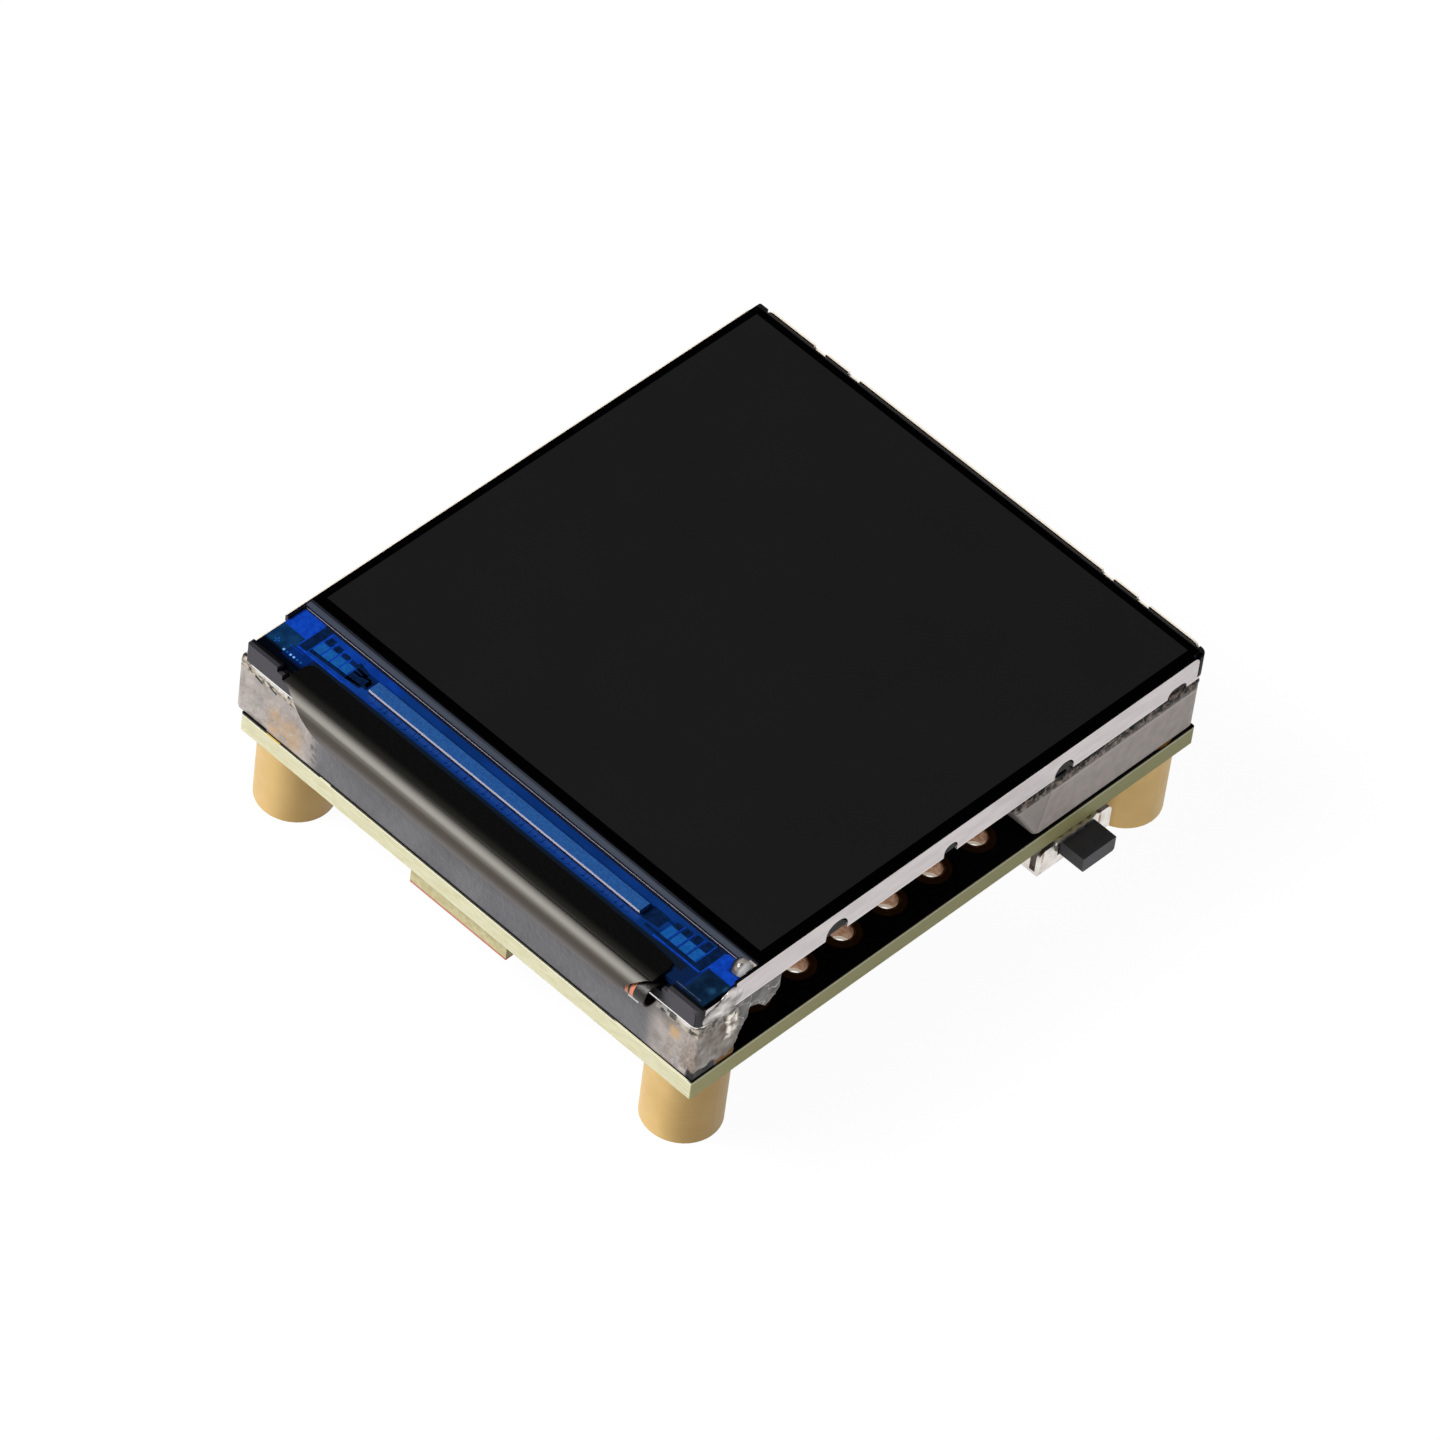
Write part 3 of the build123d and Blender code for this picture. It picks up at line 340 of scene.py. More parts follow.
# brown flux has soaked into both ends
stain = gel.times(gel.patch(x=(-10.8, -9.9), z=(5.0, 5.6), soft=0.9), gel.grain(0.6, 0.3, detail=4))
gel.coat((196, 160, 116), stain, 0.9)
key_end = gel.band("X", 11.6, 13.0, 1.2)
gel.coat((138, 120, 106), key_end, gel.grain(0.6, -0.1, 0.9, detail=5, stretch=(1, 1, 0.6)))
gel.coat((232, 226, 222), gel.times(key_end, veins(gel, 0.7, 0.07, 5, (1, 1, 0.6))), 0.3)
gel.coat((216, 178, 128), gel.patch(x=(11.3, 11.5), z=(6.2, 6.5), soft=0.3), 0.9)
gel.coat((112, 84, 54), gel.patch(x=(12.3, 13.0), y=(-12.9, -12.3), z=(5.5, 6.4), soft=0.4), gel.grain(0.4, 0.2))
pale = gel.mixed((250, 240, 232), (150, 128, 108), gel.grain(0.7, detail=5, stretch=(1, 1, 0.6)))
gel.coat(pale, gel.rise(gel.facing["X"], 0.3, 0.9, 0.0, 0.7))
# between the ends the strip is plain, and painted darker there: a painted shadow of the cable's fold hanging over it
shaded_middle = gel.patch(x=(-8.2, 9.7), soft=1.0)
gel.coat(gel.mixed((111, 110, 113), (99, 98, 102), gel.grain(2.0)), shaded_middle)
crumbs = gel.grain(0.2, -0.6, 1.2, detail=4, stretch=(0.5, 1, 1))
gel.coat(gel.mixed((204, 192, 176), (46, 40, 36), crumbs), gel.patch(z=(6.96, 7.6), soft=0.08), gel.rest_of(shaded_middle))
gel.coat((228, 224, 217), gel.either(gel.patch(x=(-12.15, -10.35), z=(7.22, 7.62), soft=0.03),
                                     gel.patch(x=(11.45, 12.1), z=(7.2, 7.6), soft=0.03)))
# two slanted cuts at the left end
slant = gel.reckon("ADD", gel.at["Z"], gel.times(gel.at["X"], 0.31))
cuts = [gel.times(gel.reckon("COMPARE", slant, level * MM, half * MM), gel.patch(x=reach))
        for level, half, reach in ((3.226, 0.07, (-12.16, -11.74)), (3.489, 0.06, (-11.36, -10.94)))]
gel.coat((22, 17, 15), gel.either(*cuts))
# a white thread, a dark scrap with its torn pale end, and a crease, drawn as a dark streak of painted shade
gel.coat((255, 255, 255), gel.patch(x=(8.85, 9.4), z=(6.3, 6.44), soft=0.02))
gel.coat((82, 78, 74), gel.patch(x=(11.0, 11.35), z=(7.0, 7.3), soft=0.06))
frayed = gel.reckon("GREATER_THAN", gel.grain(0.35, detail=3), 0.35)
gel.coat((240, 237, 232), gel.patch(x=(10.35, 11.0), z=(6.98, 7.3), soft=0.06), frayed)
gel.coat((98, 88, 84), gel.patch(x=(-8.75, -8.6), z=(4.9, 6.1), soft=0.2), gel.grain(0.25, -0.5, 1.2, detail=3))
# the board and its gilt ring show through the foot of the key-side end
gel.coat((18, 17, 18), gel.patch(x=(12.3, 13.2), y=(-14.4, -13.1), z=(4.3, 4.85), soft=0.14))
gel.coat((150, 104, 30), gel.patch(x=(12.3, 13.2), y=(-12.9, -11.9), z=(4.3, 4.78), soft=0.12))
# the tongue is clear: dark board shows through it and its edges catch the light
clear = gel.mixed((88, 84, 82), (176, 170, 166), gel.grain(0.9))
clear = gel.mixed(clear, (252, 250, 248), veins(gel, 0.8, 0.05, 1.5))
clear = gel.mixed(clear, (238, 236, 234), gel.reckon("LESS_THAN", gel.facing["X"], 0.82))
gel.coat(clear, gel.past("Y", -11.95))
# the torn end's thin upper edge is milky and glints
glint = gel.patch(x=(12.3, 13.4), y=(-12.6, -12.1), z=(5.8, 7.1), soft=0.15)
glint = gel.times(glint, gel.grain(0.35, -0.4, 1.5, detail=3))
gel.coat((255, 248, 236), glint)
gel.feed(gel.times(glint, 0.7), gel.shader["Metallic"])
gel.tooth(0.3, 0.02, detail=4)


def at_rim(x, y, z):
    """1 along the strip's upper front edge, apart from its plain middle."""
    return 1.0 if 6.95 < z < 7.45 and y < -13.9 and abs(x - 0.8) > 9.2 else 0.0


def at_torn_end(x, y, z):
    """Grows from 0 to 1 towards the key-side end."""
    return min(1.0, max(0.0, (x - 12.0) * 3)) if y < -11.9 and 4.7 < z < 7.2 else 0.0


front_gel = part_copy("front_gel_strip", "front_gel")
even_skin(front_gel, 0.1)
roughen(front_gel, "rim", 0.12, 0.12, at_rim)
roughen(front_gel, "torn_end", 0.4, 0.3, at_torn_end)
# the strip's foot bulges out over the board's edge
foot_top, foot_fade, foot_bulge = 4.8, 0.25, 0.05
for vertex in front_gel.data.vertices:
    x, y, z = (value / MM for value in vertex.co)
    if y < -14.1 and z < foot_top and x > -11.3:
        vertex.co.y -= foot_bulge * min(1.0, (foot_top - z) / foot_fade) * MM
put_on(front_gel, gel)
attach(front_gel, "board")
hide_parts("front_gel")

# ---------------------------------------------------------------- back gel strip
# The wider silicone strip at the far side, cut at a slant with a blade. Its
# upper edge was pulled and is rough, its side is flat and satin.

cut_gel = Finish("back_gel", (240, 228, 222), 0.4, specular=0.12)
cut_gel.ground((250, 238, 232), (236, 224, 218), cut_gel.grain(0.5, detail=4))
cut_gel.coat((200, 192, 186), cut_gel.turned("Y", -0.3))
cut_gel.coat((255, 246, 240), cut_gel.patch(z=(6.66, 6.74), soft=0.04))
# the blade's slanted line, and in front of it the gel painted darker, a painted shade on the slanted facet
slant = cut_gel.reckon("SUBTRACT", cut_gel.at["Y"], cut_gel.times(cut_gel.at["Z"], 0.256))
blade = 3.87 * MM
cut_gel.coat((170, 162, 158), cut_gel.reckon("COMPARE", slant, blade, 0.03 * MM), 0.7)
cut_gel.coat((214, 206, 200), cut_gel.reckon("LESS_THAN", slant, blade), 0.6)
blot = cut_gel.grain(0.3, -0.5, 2.3, detail=4)
torn = cut_gel.mixed(cut_gel.mixed((214, 200, 192), (130, 118, 112), blot),
                     cut_gel.mixed((170, 150, 136), (3, 2, 2), blot), cut_gel.along("Z", 6.92, 7.1))
cut_gel.coat(torn, cut_gel.patch(z=(6.86, 7.75), soft=0.05))
cut_gel.tooth(0.2, 0.01, detail=3)

back_gel = part_copy("back_gel_strip", "back_gel")
even_skin(back_gel, 0.12)
roughen(back_gel, "pulled_edge", 0.15, 0.2, lambda x, y, z: 1.0 if z > 6.95 and abs(x) > 12.2 else 0.0)
put_on(back_gel, cut_gel)
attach(back_gel, "board")
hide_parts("back_gel")

# ---------------------------------------------------------------- display tray
# Folded from thin tinned sheet: a floor with three low walls. The sheared
# upper edges are dark, but the two far ones catch the light and look cream.

tray = Finish("tray_steel", (216, 208, 209), 0.4, metallic=0.85)
tray.ground((222, 214, 214), (210, 202, 202), tray.grain(0.6, stretch=(0.4, 0.4, 2)))
# a painted highlight along the lower edge of the walls
tray.coat((240, 236, 234), tray.band("Z", 7.4, 7.56), 0.7)
upward = tray.turned("Z", 0.5)
far_walls = tray.either(tray.before("X", -12.55), tray.past("Y", 14.31))
tray.coat(tray.mixed((16, 16, 18), (252, 240, 222), far_walls), upward)
# the inner faces are painted near black and kept from shining, a painted shade inside the walls
shaded_inside = tray.patch(x=(-12.46, 12.46), y=(-14.3, 14.26), z=(7.66, 8.84))
tray.coat((8, 8, 10), shaded_inside)
wall_end = tray.turned("Y", -0.5)
# a painted highlight on the front end of the floor plate
tray.coat((252, 250, 248), wall_end, tray.before("Z", 7.68))
tray.coat((60, 56, 54), wall_end, tray.past("Z", 7.7))
bare = tray.times(tray.times(tray.rest_of(shaded_inside), 0.85), tray.rest_of(tray.times(far_walls, upward)))
tray.feed(bare, tray.shader["Metallic"])
tray.gloss(tray.reckon("SUBTRACT", 0.9, tray.times(bare, 0.588)))
tray.tooth(0.08, 0.003)
tray.dress("display_tray")

# ---------------------------------------------------------------- gel smear on the tray
# Some of the gel was wiped up over the front end of the tray's key-side wall,
# where it set as a thin, streaky, whitish skin.

wiped = Finish("gel_smear", (240, 234, 230), 0.35, metallic=0.65)
wiped.ground((255, 250, 246), (150, 142, 140),
             wiped.grain(0.5, detail=4, stretch=(1, 0.5, 1.4), turn=(0.6, 0, 0)))
wiped.coat((128, 120, 120), wiped.along("Z", 7.95, 7.6), wiped.grain(0.4, 0.3))
wiped.coat((240, 150, 116), wiped.patch(y=(-13.62, -13.5), z=(8.42, 8.6), soft=0.06))
wiped.tooth(0.25, 0.02, detail=4)

bpy.ops.object.select_all(action="DESELECT")
bpy.ops.mesh.primitive_uv_sphere_add(segments=64, ring_count=32, radius=1 * MM, location=(0, 0, 0))
smear = bpy.context.object
smear.name = "gel_smear"
# the ball is pressed flat against the wall and drawn out along it, with a wavy edge
middle_x, middle_y, middle_z = 12.6, -13.0, 8.0
half_thickness, half_length = 0.09, 1.1
for vertex in smear.data.vertices:
    x, y, z = (value / MM for value in vertex.co)
    half_height = 0.6 + 0.12 * math.sin(y * 4.0) + 0.1 * y
    vertex.co = ((middle_x + half_thickness * x) * MM, (middle_y + half_length * y) * MM,
                 (middle_z + half_height * z + 0.12 * y) * MM)
roughen(smear, "wiped", 0.35, 0.12, lambda x, y, z: 1.0 if x > 12.56 else 0.0)
bpy.ops.object.shade_smooth_by_angle(angle=1.0)
put_on(smear, wiped)
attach(smear, "board")

# ---------------------------------------------------------------- backlight frame
# Black moulded plastic that fills the tray's open side and two far corners.
# The mould left it matt, with paler worn edges.


def whole_faces():
    """Joins the flat triangles of the active piece into whole faces."""
    bpy.ops.object.mode_set(mode="EDIT")
    bpy.ops.mesh.select_all(action="SELECT")
    bpy.ops.mesh.dissolve_limited(angle_limit=0.01)
    bpy.ops.object.mode_set(mode="OBJECT")


moulding = Finish("frame_plastic", (58, 57, 60), 0.5, specular=0.1)
moulding.ground((66, 65, 68), (46, 45, 48), moulding.grain(0.3, detail=4))
# the front faces are painted lighter and the top faces darker, near black at the front under the cable's fold: painted
# light and shade on one plastic
moulding.coat((80, 78, 83), moulding.turned("Y", -0.3))
moulding.coat(moulding.mixed((8, 8, 10), (56, 55, 60), moulding.before("Y", -14.18)), moulding.turned("Z", 0.5))
moulding.coat((26, 25, 26), moulding.past("Y", 12.0))
moulding.tooth(0.1, 0.006, detail=3)

moulded_frame = part_copy("moulded_frame", "backlight_frame")
# the far left corner is sharper than the others
left = min(vertex.co.x for vertex in moulded_frame.data.vertices)
far = max(vertex.co.y for vertex in moulded_frame.data.vertices)
corner, rounded = 0.4 * MM, 0.38 * MM
for vertex in moulded_frame.data.vertices:
    dx = left + corner - vertex.co.x
    dy = vertex.co.y - (far - corner)
    if dx > 0 and dy > 0 and math.hypot(dx, dy) > rounded:
        outward = corner / max(dx, dy) - 1
        vertex.co.x -= dx * outward
        vertex.co.y += dy * outward
whole_faces()
worn = moulded_frame.modifiers.new("worn_edges", "BEVEL")
worn.width = 0.035 * MM
worn.segments = 2
worn.limit_method = "ANGLE"
worn.angle_limit = 0.7
worn.use_clamp_overlap = True
bpy.ops.object.modifier_apply(modifier="worn_edges")
put_on(moulded_frame, moulding)
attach(moulded_frame, "board")
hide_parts("backlight_frame")

# ---------------------------------------------------------------- backlight layers
# Mirror film, acrylic guide, two plastic films and the rear polarizer, stacked
# loose in the frame's window. Only their edges could ever be seen.

mirror = Finish("mirror_film", (238, 238, 240), 0.08, metallic=1.0)
mirror.gloss(mirror.grain(3.0, 0.05, 0.14))
mirror.dress("reflector_sheet")

acrylic = Finish("acrylic_guide", (236, 242, 246), 0.1)
acrylic.shader["Transmission Weight"].default_value = 0.6
acrylic.gloss(acrylic.grain(0.4, 0.08, 0.2))
acrylic.dress("light_guide")

film = Finish("white_film", (240, 240, 238), 0.5)
film.ground((242, 242, 240), (230, 232, 234), film.grain(0.3))
film.dress("diffuser_film", "prism_film")

polarizer = Finish("rear_polarizer", (40, 42, 48), 0.3)
polarizer.ground((42, 44, 50), (34, 36, 42), polarizer.grain(1.0))
polarizer.dress("rear_polarizer")

# ---------------------------------------------------------------- lower glass with its ledge
# The lower glass plate stands out in front of the upper one. On this ledge the
# metal layers are etched into pads and tracks that show blue on darker blue.

ledge = Finish("ledge_glass", (4, 60, 190), 0.25, specular=0.12)
ledge.ground((8, 46, 108), (12, 54, 124), ledge.grain(1.5, detail=4))
open_blue = ledge.either(ledge.patch(x=(-12.6, -6.9), soft=0.5), ledge.patch(x=(11.2, 12.6), soft=0.05))
ledge.coat(ledge.mixed((8, 50, 134), (14, 64, 160), ledge.grain(0.8, detail=4)), open_blue)
ledge.coat((12, 34, 74), ledge.patch(x=(9.1, 11.1), y=(-14.2, -11.9), soft=0.4))
ledge.coat((4, 34, 92), ledge.band("Y", -11.99, -11.87, 0.03))
ledge.coat((2, 6, 24), ledge.band("Y", -11.43, -11.2, 0.05))
# bright before the chip; before the cable a painted shadow of the cable, and round the glue dot a painted shadow of
# the glue
ledge.coat((18, 60, 132), ledge.patch(x=(-8.4, 7.6), y=(-12.82, -12.6), soft=0.16), 0.8)
ledge.coat((16, 27, 42), ledge.patch(x=(-10.2, 10.6), y=(-13.4, -13.04), soft=0.05))
ledge.coat((8, 22, 46), ledge.patch(x=(11.62, 12.4), y=(-12.0, -11.4), soft=0.2))
# the two front corners are duller
for dark, light, x, y in (((10, 42, 80), (18, 62, 104), (-12.6, -11.2), (-14.2, -12.52)),
                          ((8, 26, 50), (16, 44, 70), (11.28, 12.6), (-14.2, -12.5))):
    ledge.coat(ledge.mixed(dark, light, ledge.grain(0.5, detail=4)), ledge.patch(x=x, y=y))
ledge.coat((2, 4, 14), ledge.patch(x=(-12.6, -10.0), y=(-14.3, -13.68), soft=0.25))
ledge.coat((4, 30, 84), ledge.patch(x=(-11.3, -10.1), y=(-13.7, -13.1), soft=0.1), 0.7)
spots = ledge.either(ledge.patch(x=(12.08, 12.12), y=(-13.26, -13.2), soft=0.24),
                     ledge.patch(x=(12.46, 12.5), y=(-12.8, -12.7), soft=0.2))
ledge.coat((44, 96, 140), spots, ledge.grain(0.5, 0.1, 0.8))
ledge.coat((112, 118, 122), ledge.patch(x=(10.9, 12.2), y=(-13.91, -13.885), soft=0.015), ledge.grain(0.5))
ledge.dress("lower_glass")


def etched_blue(name, colour, dark, light, size, detail=2.0):
    """The finish of one kind of etched metal."""
    made = Finish(name, colour, 0.3, specular=0.1)
    made.ground(dark, light, made.grain(size, detail=detail))
    return made


pad_dark = etched_blue("pad_dark", (6, 26, 58), (6, 24, 52), (10, 34, 74), 0.2, detail=3)
pad_light = etched_blue("pad_light", (26, 98, 190), (17, 80, 150), (26, 94, 172), 0.12, detail=3)
pad_bright = etched_blue("pad_bright", (12, 84, 222), (10, 58, 165), (16, 72, 190), 0.2)
# a painted shadow of the glue dot on this metal
pad_bright.coat((8, 22, 46), pad_bright.patch(x=(11.9, 12.3), y=(-11.86, -11.4), soft=0.26))
pad_shine = etched_blue("pad_shine", (110, 175, 255), (96, 160, 250), (130, 190, 255), 0.1)
track_blue = etched_blue("track_blue", (10, 46, 118), (8, 40, 104), (14, 56, 136), 0.2)

ledge_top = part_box("lower_glass")[1].z / MM
metal_height = 0.006
etched = []


def etch(finish, x0, x1, y0, y1, lean=0.0, narrow=0.0):
    """One etched area on the ledge, whose far end along X may lean or narrow."""
    bpy.ops.object.select_all(action="DESELECT")
    middle = ((x0 + x1) / 2 * MM, (y0 + y1) / 2 * MM, (ledge_top + metal_height / 2) * MM)
    bpy.ops.mesh.primitive_cube_add(size=1, location=middle)
    area = bpy.context.object
    area.scale = ((x1 - x0) * MM, (y1 - y0) * MM, metal_height * MM)
    bpy.ops.object.transform_apply(location=True, rotation=True, scale=True)
    for vertex in area.data.vertices:
        if vertex.co.x > middle[0]:
            vertex.co.y += lean * MM
            vertex.co.y += (narrow if vertex.co.y < middle[1] + lean * MM else -narrow) * MM
    area.data.materials.append(finish.material)
    etched.append(area)


# left group: bar, four stepped pads with their dark windows, and the lead to the chip
etch(pad_bright, -12.44, -11.24, -12.5, -11.4)
etch(pad_dark, -11.17, -10.75, -12.93, -11.45)
etch(pad_bright, -11.23, -11.18, -13.02, -11.45)
etch(pad_bright, -11.23, -8.6, -13.04, -12.97)
etch(pad_dark, -10.7, -8.0, -12.86, -12.68, 0.12)
for number in range(4):
    x = -10.66 + 0.47 * number
    etch(pad_light, x, x + 0.39, -12.66, -12.11)
    etch(pad_dark, x + 0.06, x + 0.36, -12.06, -11.68 - 0.07 * number)
    etch(pad_bright, x - 0.05, x, -12.7, -11.5 - 0.1 * number)
etch(pad_dark, -8.78, -7.72, -12.78, -12.0, 0.12, 0.1)
etch(pad_bright, -8.82, -8.35, -12.28, -12.2)
etch(pad_bright, -8.4, -7.95, -12.24, -12.14, 0.1)
etch(pad_bright, -8.0, -7.8, -12.4, -12.06, -0.1)
etch(pad_dark, -8.9, -8.2, -12.05, -11.72, -0.12, 0.03)
# right group, much the same the other way round
etch(pad_dark, 10.7, 11.1, -12.85, -11.43)
etch(pad_bright, 11.16, 11.21, -12.85, -11.5)
etch(pad_bright, 8.6, 11.15, -12.95, -12.87)
etch(pad_dark, 8.0, 10.62, -12.82, -12.68)
for number in range(4):
    x = 8.74 + 0.5 * number
    etch(pad_light, x, x + 0.4, -12.66, -12.05)
    etch(pad_dark, x + 0.05, x + 0.36, -12.0, -11.76 + 0.08 * number)
    etch(pad_bright, x + 0.42, x + 0.46, -12.66, -11.7 + 0.06 * number)
etch(pad_dark, 7.62, 8.5, -12.62, -11.82, 0.05, 0.06)
etch(pad_bright, 11.22, 12.43, -12.46, -11.4)
# test marks on the left corner: a cross and a row of dots
etch(pad_light, -12.1, -11.82, -13.4, -13.34)
etch(pad_light, -11.99, -11.93, -13.52, -13.22)
for x, dot in ((-11.41, pad_shine), (-11.22, pad_light), (-11.02, pad_shine),
               (-10.84, pad_shine), (-10.65, pad_light), (-10.45, pad_light)):
    etch(dot, x - 0.05, x + 0.05, -13.58, -13.48)
etch(pad_bright, -11.45, -10.7, -13.17, -13.15)
# the tracks that run from the chip to the cable
for number in range(40):
    x = -7.2 + number * 0.365 + 0.07 * math.sin(number * 2.4)
    etch(track_blue, x, x + 0.2, -12.98, -12.94, 0.12)
    etch(track_blue, x + 0.1, x + 0.13 + 0.03 * (number % 3), -12.9, -12.66)

bpy.ops.object.select_all(action="DESELECT")
for area in etched:
    area.select_set(True)
bpy.context.view_layer.objects.active = etched[0]
bpy.ops.object.join()
ledge_print = bpy.context.object
ledge_print.name = "ledge_print"
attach(ledge_print, "board")

# ---------------------------------------------------------------- upper glass and dark sheet
# The upper glass covers the picture area. The dark sheet on it leaves a narrow
# strip of bare glass at the ledge and prints a black border round the picture.

glass = Finish("cover_glass", (84, 84, 100), 0.25, specular=0.2)
glass.ground((68, 75, 88), (20, 23, 33), glass.along("Y", -11.14, -11.05))
glass.coat((88, 94, 106), glass.grain(0.05, stretch=(0.01, 1, 1)), 0.35)
glass.coat((208, 196, 189), glass.patch(x=(12.12, 12.6), y=(-11.45, -11.12), soft=0.04))
front_edge = glass.mixed((4, 4, 8), (176, 172, 190), glass.band("Z", 8.6, 8.725, 0.005))
front_edge = glass.mixed(front_edge, (70, 76, 88), glass.band("Z", 8.83, 8.9, 0.01))
glass.coat(front_edge, glass.turned("Y", -0.5))
glass.coat((4, 4, 6), glass.across("X", 0.5))
glass.dress("upper_glass")

screen = Finish("dark_sheet", (27, 27, 27), 0.4, specular=0.02)
picture = screen.mixed((27, 27, 27), (28, 28, 28), screen.grain(4.0))
screen.ground((0, 0, 0), picture, screen.patch(x=(-12.1, 12.1), y=(-10.55, 13.65)))
screen.dress("front_polarizer")

# ---------------------------------------------------------------- driver chip
# A long sliver of bare silicon bonded face down on the ledge: its ground back
# is steel blue, and its sawn front edge shines.

silicon = Finish("bare_silicon", (38, 92, 162), 0.35, specular=0.2)
silicon.ground((31, 76, 140), (42, 92, 154), silicon.grain(0.1, detail=4))
sawn = silicon.mixed((206, 202, 216), (8, 14, 34), silicon.before("Z", ledge_top + 0.12))
silicon.coat(sawn, silicon.turned("Y", -0.5))
silicon.dress("driver_chip")

# ---------------------------------------------------------------- display cable
# Black flexible circuit, bonded on the ledge, folded over the edge and led back
# between gel and tray to the board. Its coverlay is satin with a fine tooth.

cable = Finish("cable_film", (14, 14, 14), 0.5, specular=0.1)
cable.ground((1, 2, 1), (8, 9, 7), cable.grain(0.1, detail=4))
# the fold picks up light on its shoulder and again on its outermost face
on_top = cable.along("Z", 8.3, 8.5)
cable.coat((38, 37, 33), cable.along("Y", -14.2, -14.7), on_top)
cable.coat((146, 142, 136), cable.reckon("POWER", cable.along("Y", -14.5, -15.05), 2.4), on_top)
front = cable.mixed((78, 72, 66), (116, 112, 110), cable.along("Z", 8.35, 7.85))
cable.coat(front, cable.along("Y", -15.06, -15.27))
cable.tooth(0.06, 0.003, detail=3)

folded_cable = part_copy("folded_cable", "display_cable")
whole_faces()
points = [vertex.co for vertex in folded_cable.data.vertices if vertex.co.z > (ledge_top - 0.1) * MM]
start_y = max(point.y for point in points)


def at_start(point):
    """Whether a point lies on the end edge of the cable on the ledge."""
    return point.z > (ledge_top - 0.1) * MM and point.y > start_y - 0.01 * MM


# the left corner of that end is round, the right one is cut off in two steps
left = min(point.x for point in points if at_start(point))
right = max(point.x for point in points if at_start(point))
for corner, rounding, steps in ((left, 0.4, 5), (right, 0.45, 2)):
    bpy.ops.object.mode_set(mode="EDIT")
    bpy.ops.mesh.select_mode(type="EDGE")
    bpy.ops.mesh.select_all(action="DESELECT")
    bpy.ops.object.mode_set(mode="OBJECT")
    for edge in folded_cable.data.edges:
        ends = [folded_cable.data.vertices[number].co for number in edge.vertices]
        edge.select = all(at_start(end) and abs(end.x - corner) < 0.01 * MM for end in ends)
    bpy.ops.object.mode_set(mode="EDIT")
    bpy.ops.mesh.bevel(offset=rounding * MM, segments=steps, affect="EDGES")
    bpy.ops.object.mode_set(mode="OBJECT")
# the first step of the cut was trimmed on a long slant
cut_start, slant_length = right / MM - 0.47, 0.95
for vertex in folded_cable.data.vertices:
    if at_start(vertex.co) and 0 < vertex.co.x / MM - cut_start < 0.1:
        vertex.co.x -= slant_length * MM
bpy.ops.object.shade_smooth_by_angle(angle=0.6)
put_on(folded_cable, cable)
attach(folded_cable, "board")
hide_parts("display_cable")

# ---------------------------------------------------------------- lamp strip
# The backlight's own thin strip, its spare end curled up inside the fold. Bare
# copper shows as two orange stripes near the open end of the curl.

strip = Finish("lamp_strip", (40, 37, 32), 0.4, specular=0.4)
strip.ground((44, 41, 36), (28, 26, 23), strip.grain(0.1, stretch=(3, 1, 1)))
strip.coat((226, 140, 104), strip.either(strip.patch(x=(9.46, 9.62)), strip.patch(x=(9.72, 9.9))))
strip.tooth(0.1, 0.004)
strip.dress("lamp_cable")

# ---------------------------------------------------------------- solder and lamps
# Tin solder on the cable's end, the key legs and the pins; the backlight's
# lamps are small yellow blocks behind the frame's front wall.

solder = Finish("solder", (200, 200, 204), 0.3, metallic=0.9)
solder.ground((206, 206, 210), (160, 160, 166), solder.grain(0.2, detail=3))
solder.tooth(0.15, 0.01)
solder.dress("cable_joints", "antenna_pads", "battery_pins", "right_key_legs", "left_key_legs")

lamps = Finish("lamp_body", (232, 220, 120), 0.4)
lamps.ground((236, 224, 124), (214, 196, 92), lamps.grain(0.4))
lamps.dress("backlight_lamps")

# ---------------------------------------------------------------- glue dot
# A drop of clear adhesive set at the corner where the upper glass meets the
# ledge; it shows grey, with painted shade on its left side and a painted highlight on a bright facet at its right.

glue = Finish("clear_glue", (190, 180, 172), 0.08)
glue.shader["Transmission Weight"].default_value = 0.35
glue.ground((190, 180, 172), (96, 88, 84), glue.grain(0.25, detail=3))
# painted shade on the drop's left side, and a painted highlight on its right facet
glue.coat((34, 38, 50), glue.along("X", 12.02, 11.86))
glue.coat((248, 246, 244), glue.along("X", 12.16, 12.3))
glue.dress("glue_dot")

# ---------------------------------------------------------------- chip antenna
# Pressed and fired ceramic bar with silver ends, soldered under the front edge.
# Its lower face, where the aerial is printed, is redder.

ceramic = Finish("antenna_ceramic", (214, 204, 158), 0.55, specular=0.3)
ceramic.ground((218, 208, 164), (198, 186, 136), ceramic.grain(0.3, detail=3))
ceramic.coat((206, 128, 112), ceramic.before("Z", 2.62))
ceramic.tooth(0.1, 0.004)
ceramic.dress("antenna")

# ---------------------------------------------------------------- side keys
# Each key is a black moulded body in a bent tinned cover with two lobes, and a
# black plunger that is pushed against the bowed plate behind it.

key_steel = Finish("key_steel", (226, 220, 216), 0.3, metallic=0.8)
key_steel.ground((252, 246, 240), (226, 218, 210), key_steel.grain(0.35, detail=4))
flux = key_steel.either(key_steel.patch(y=(5.6, 5.68), soft=0.06), key_steel.patch(y=(8.92, 9.0), soft=0.06))
key_steel.coat((160, 118, 88), flux, key_steel.grain(0.4, detail=3))
key_steel.tooth(0.15, 0.008)
key_steel.dress("right_key_cover", "left_key_cover", "right_key_dome", "left_key_dome")

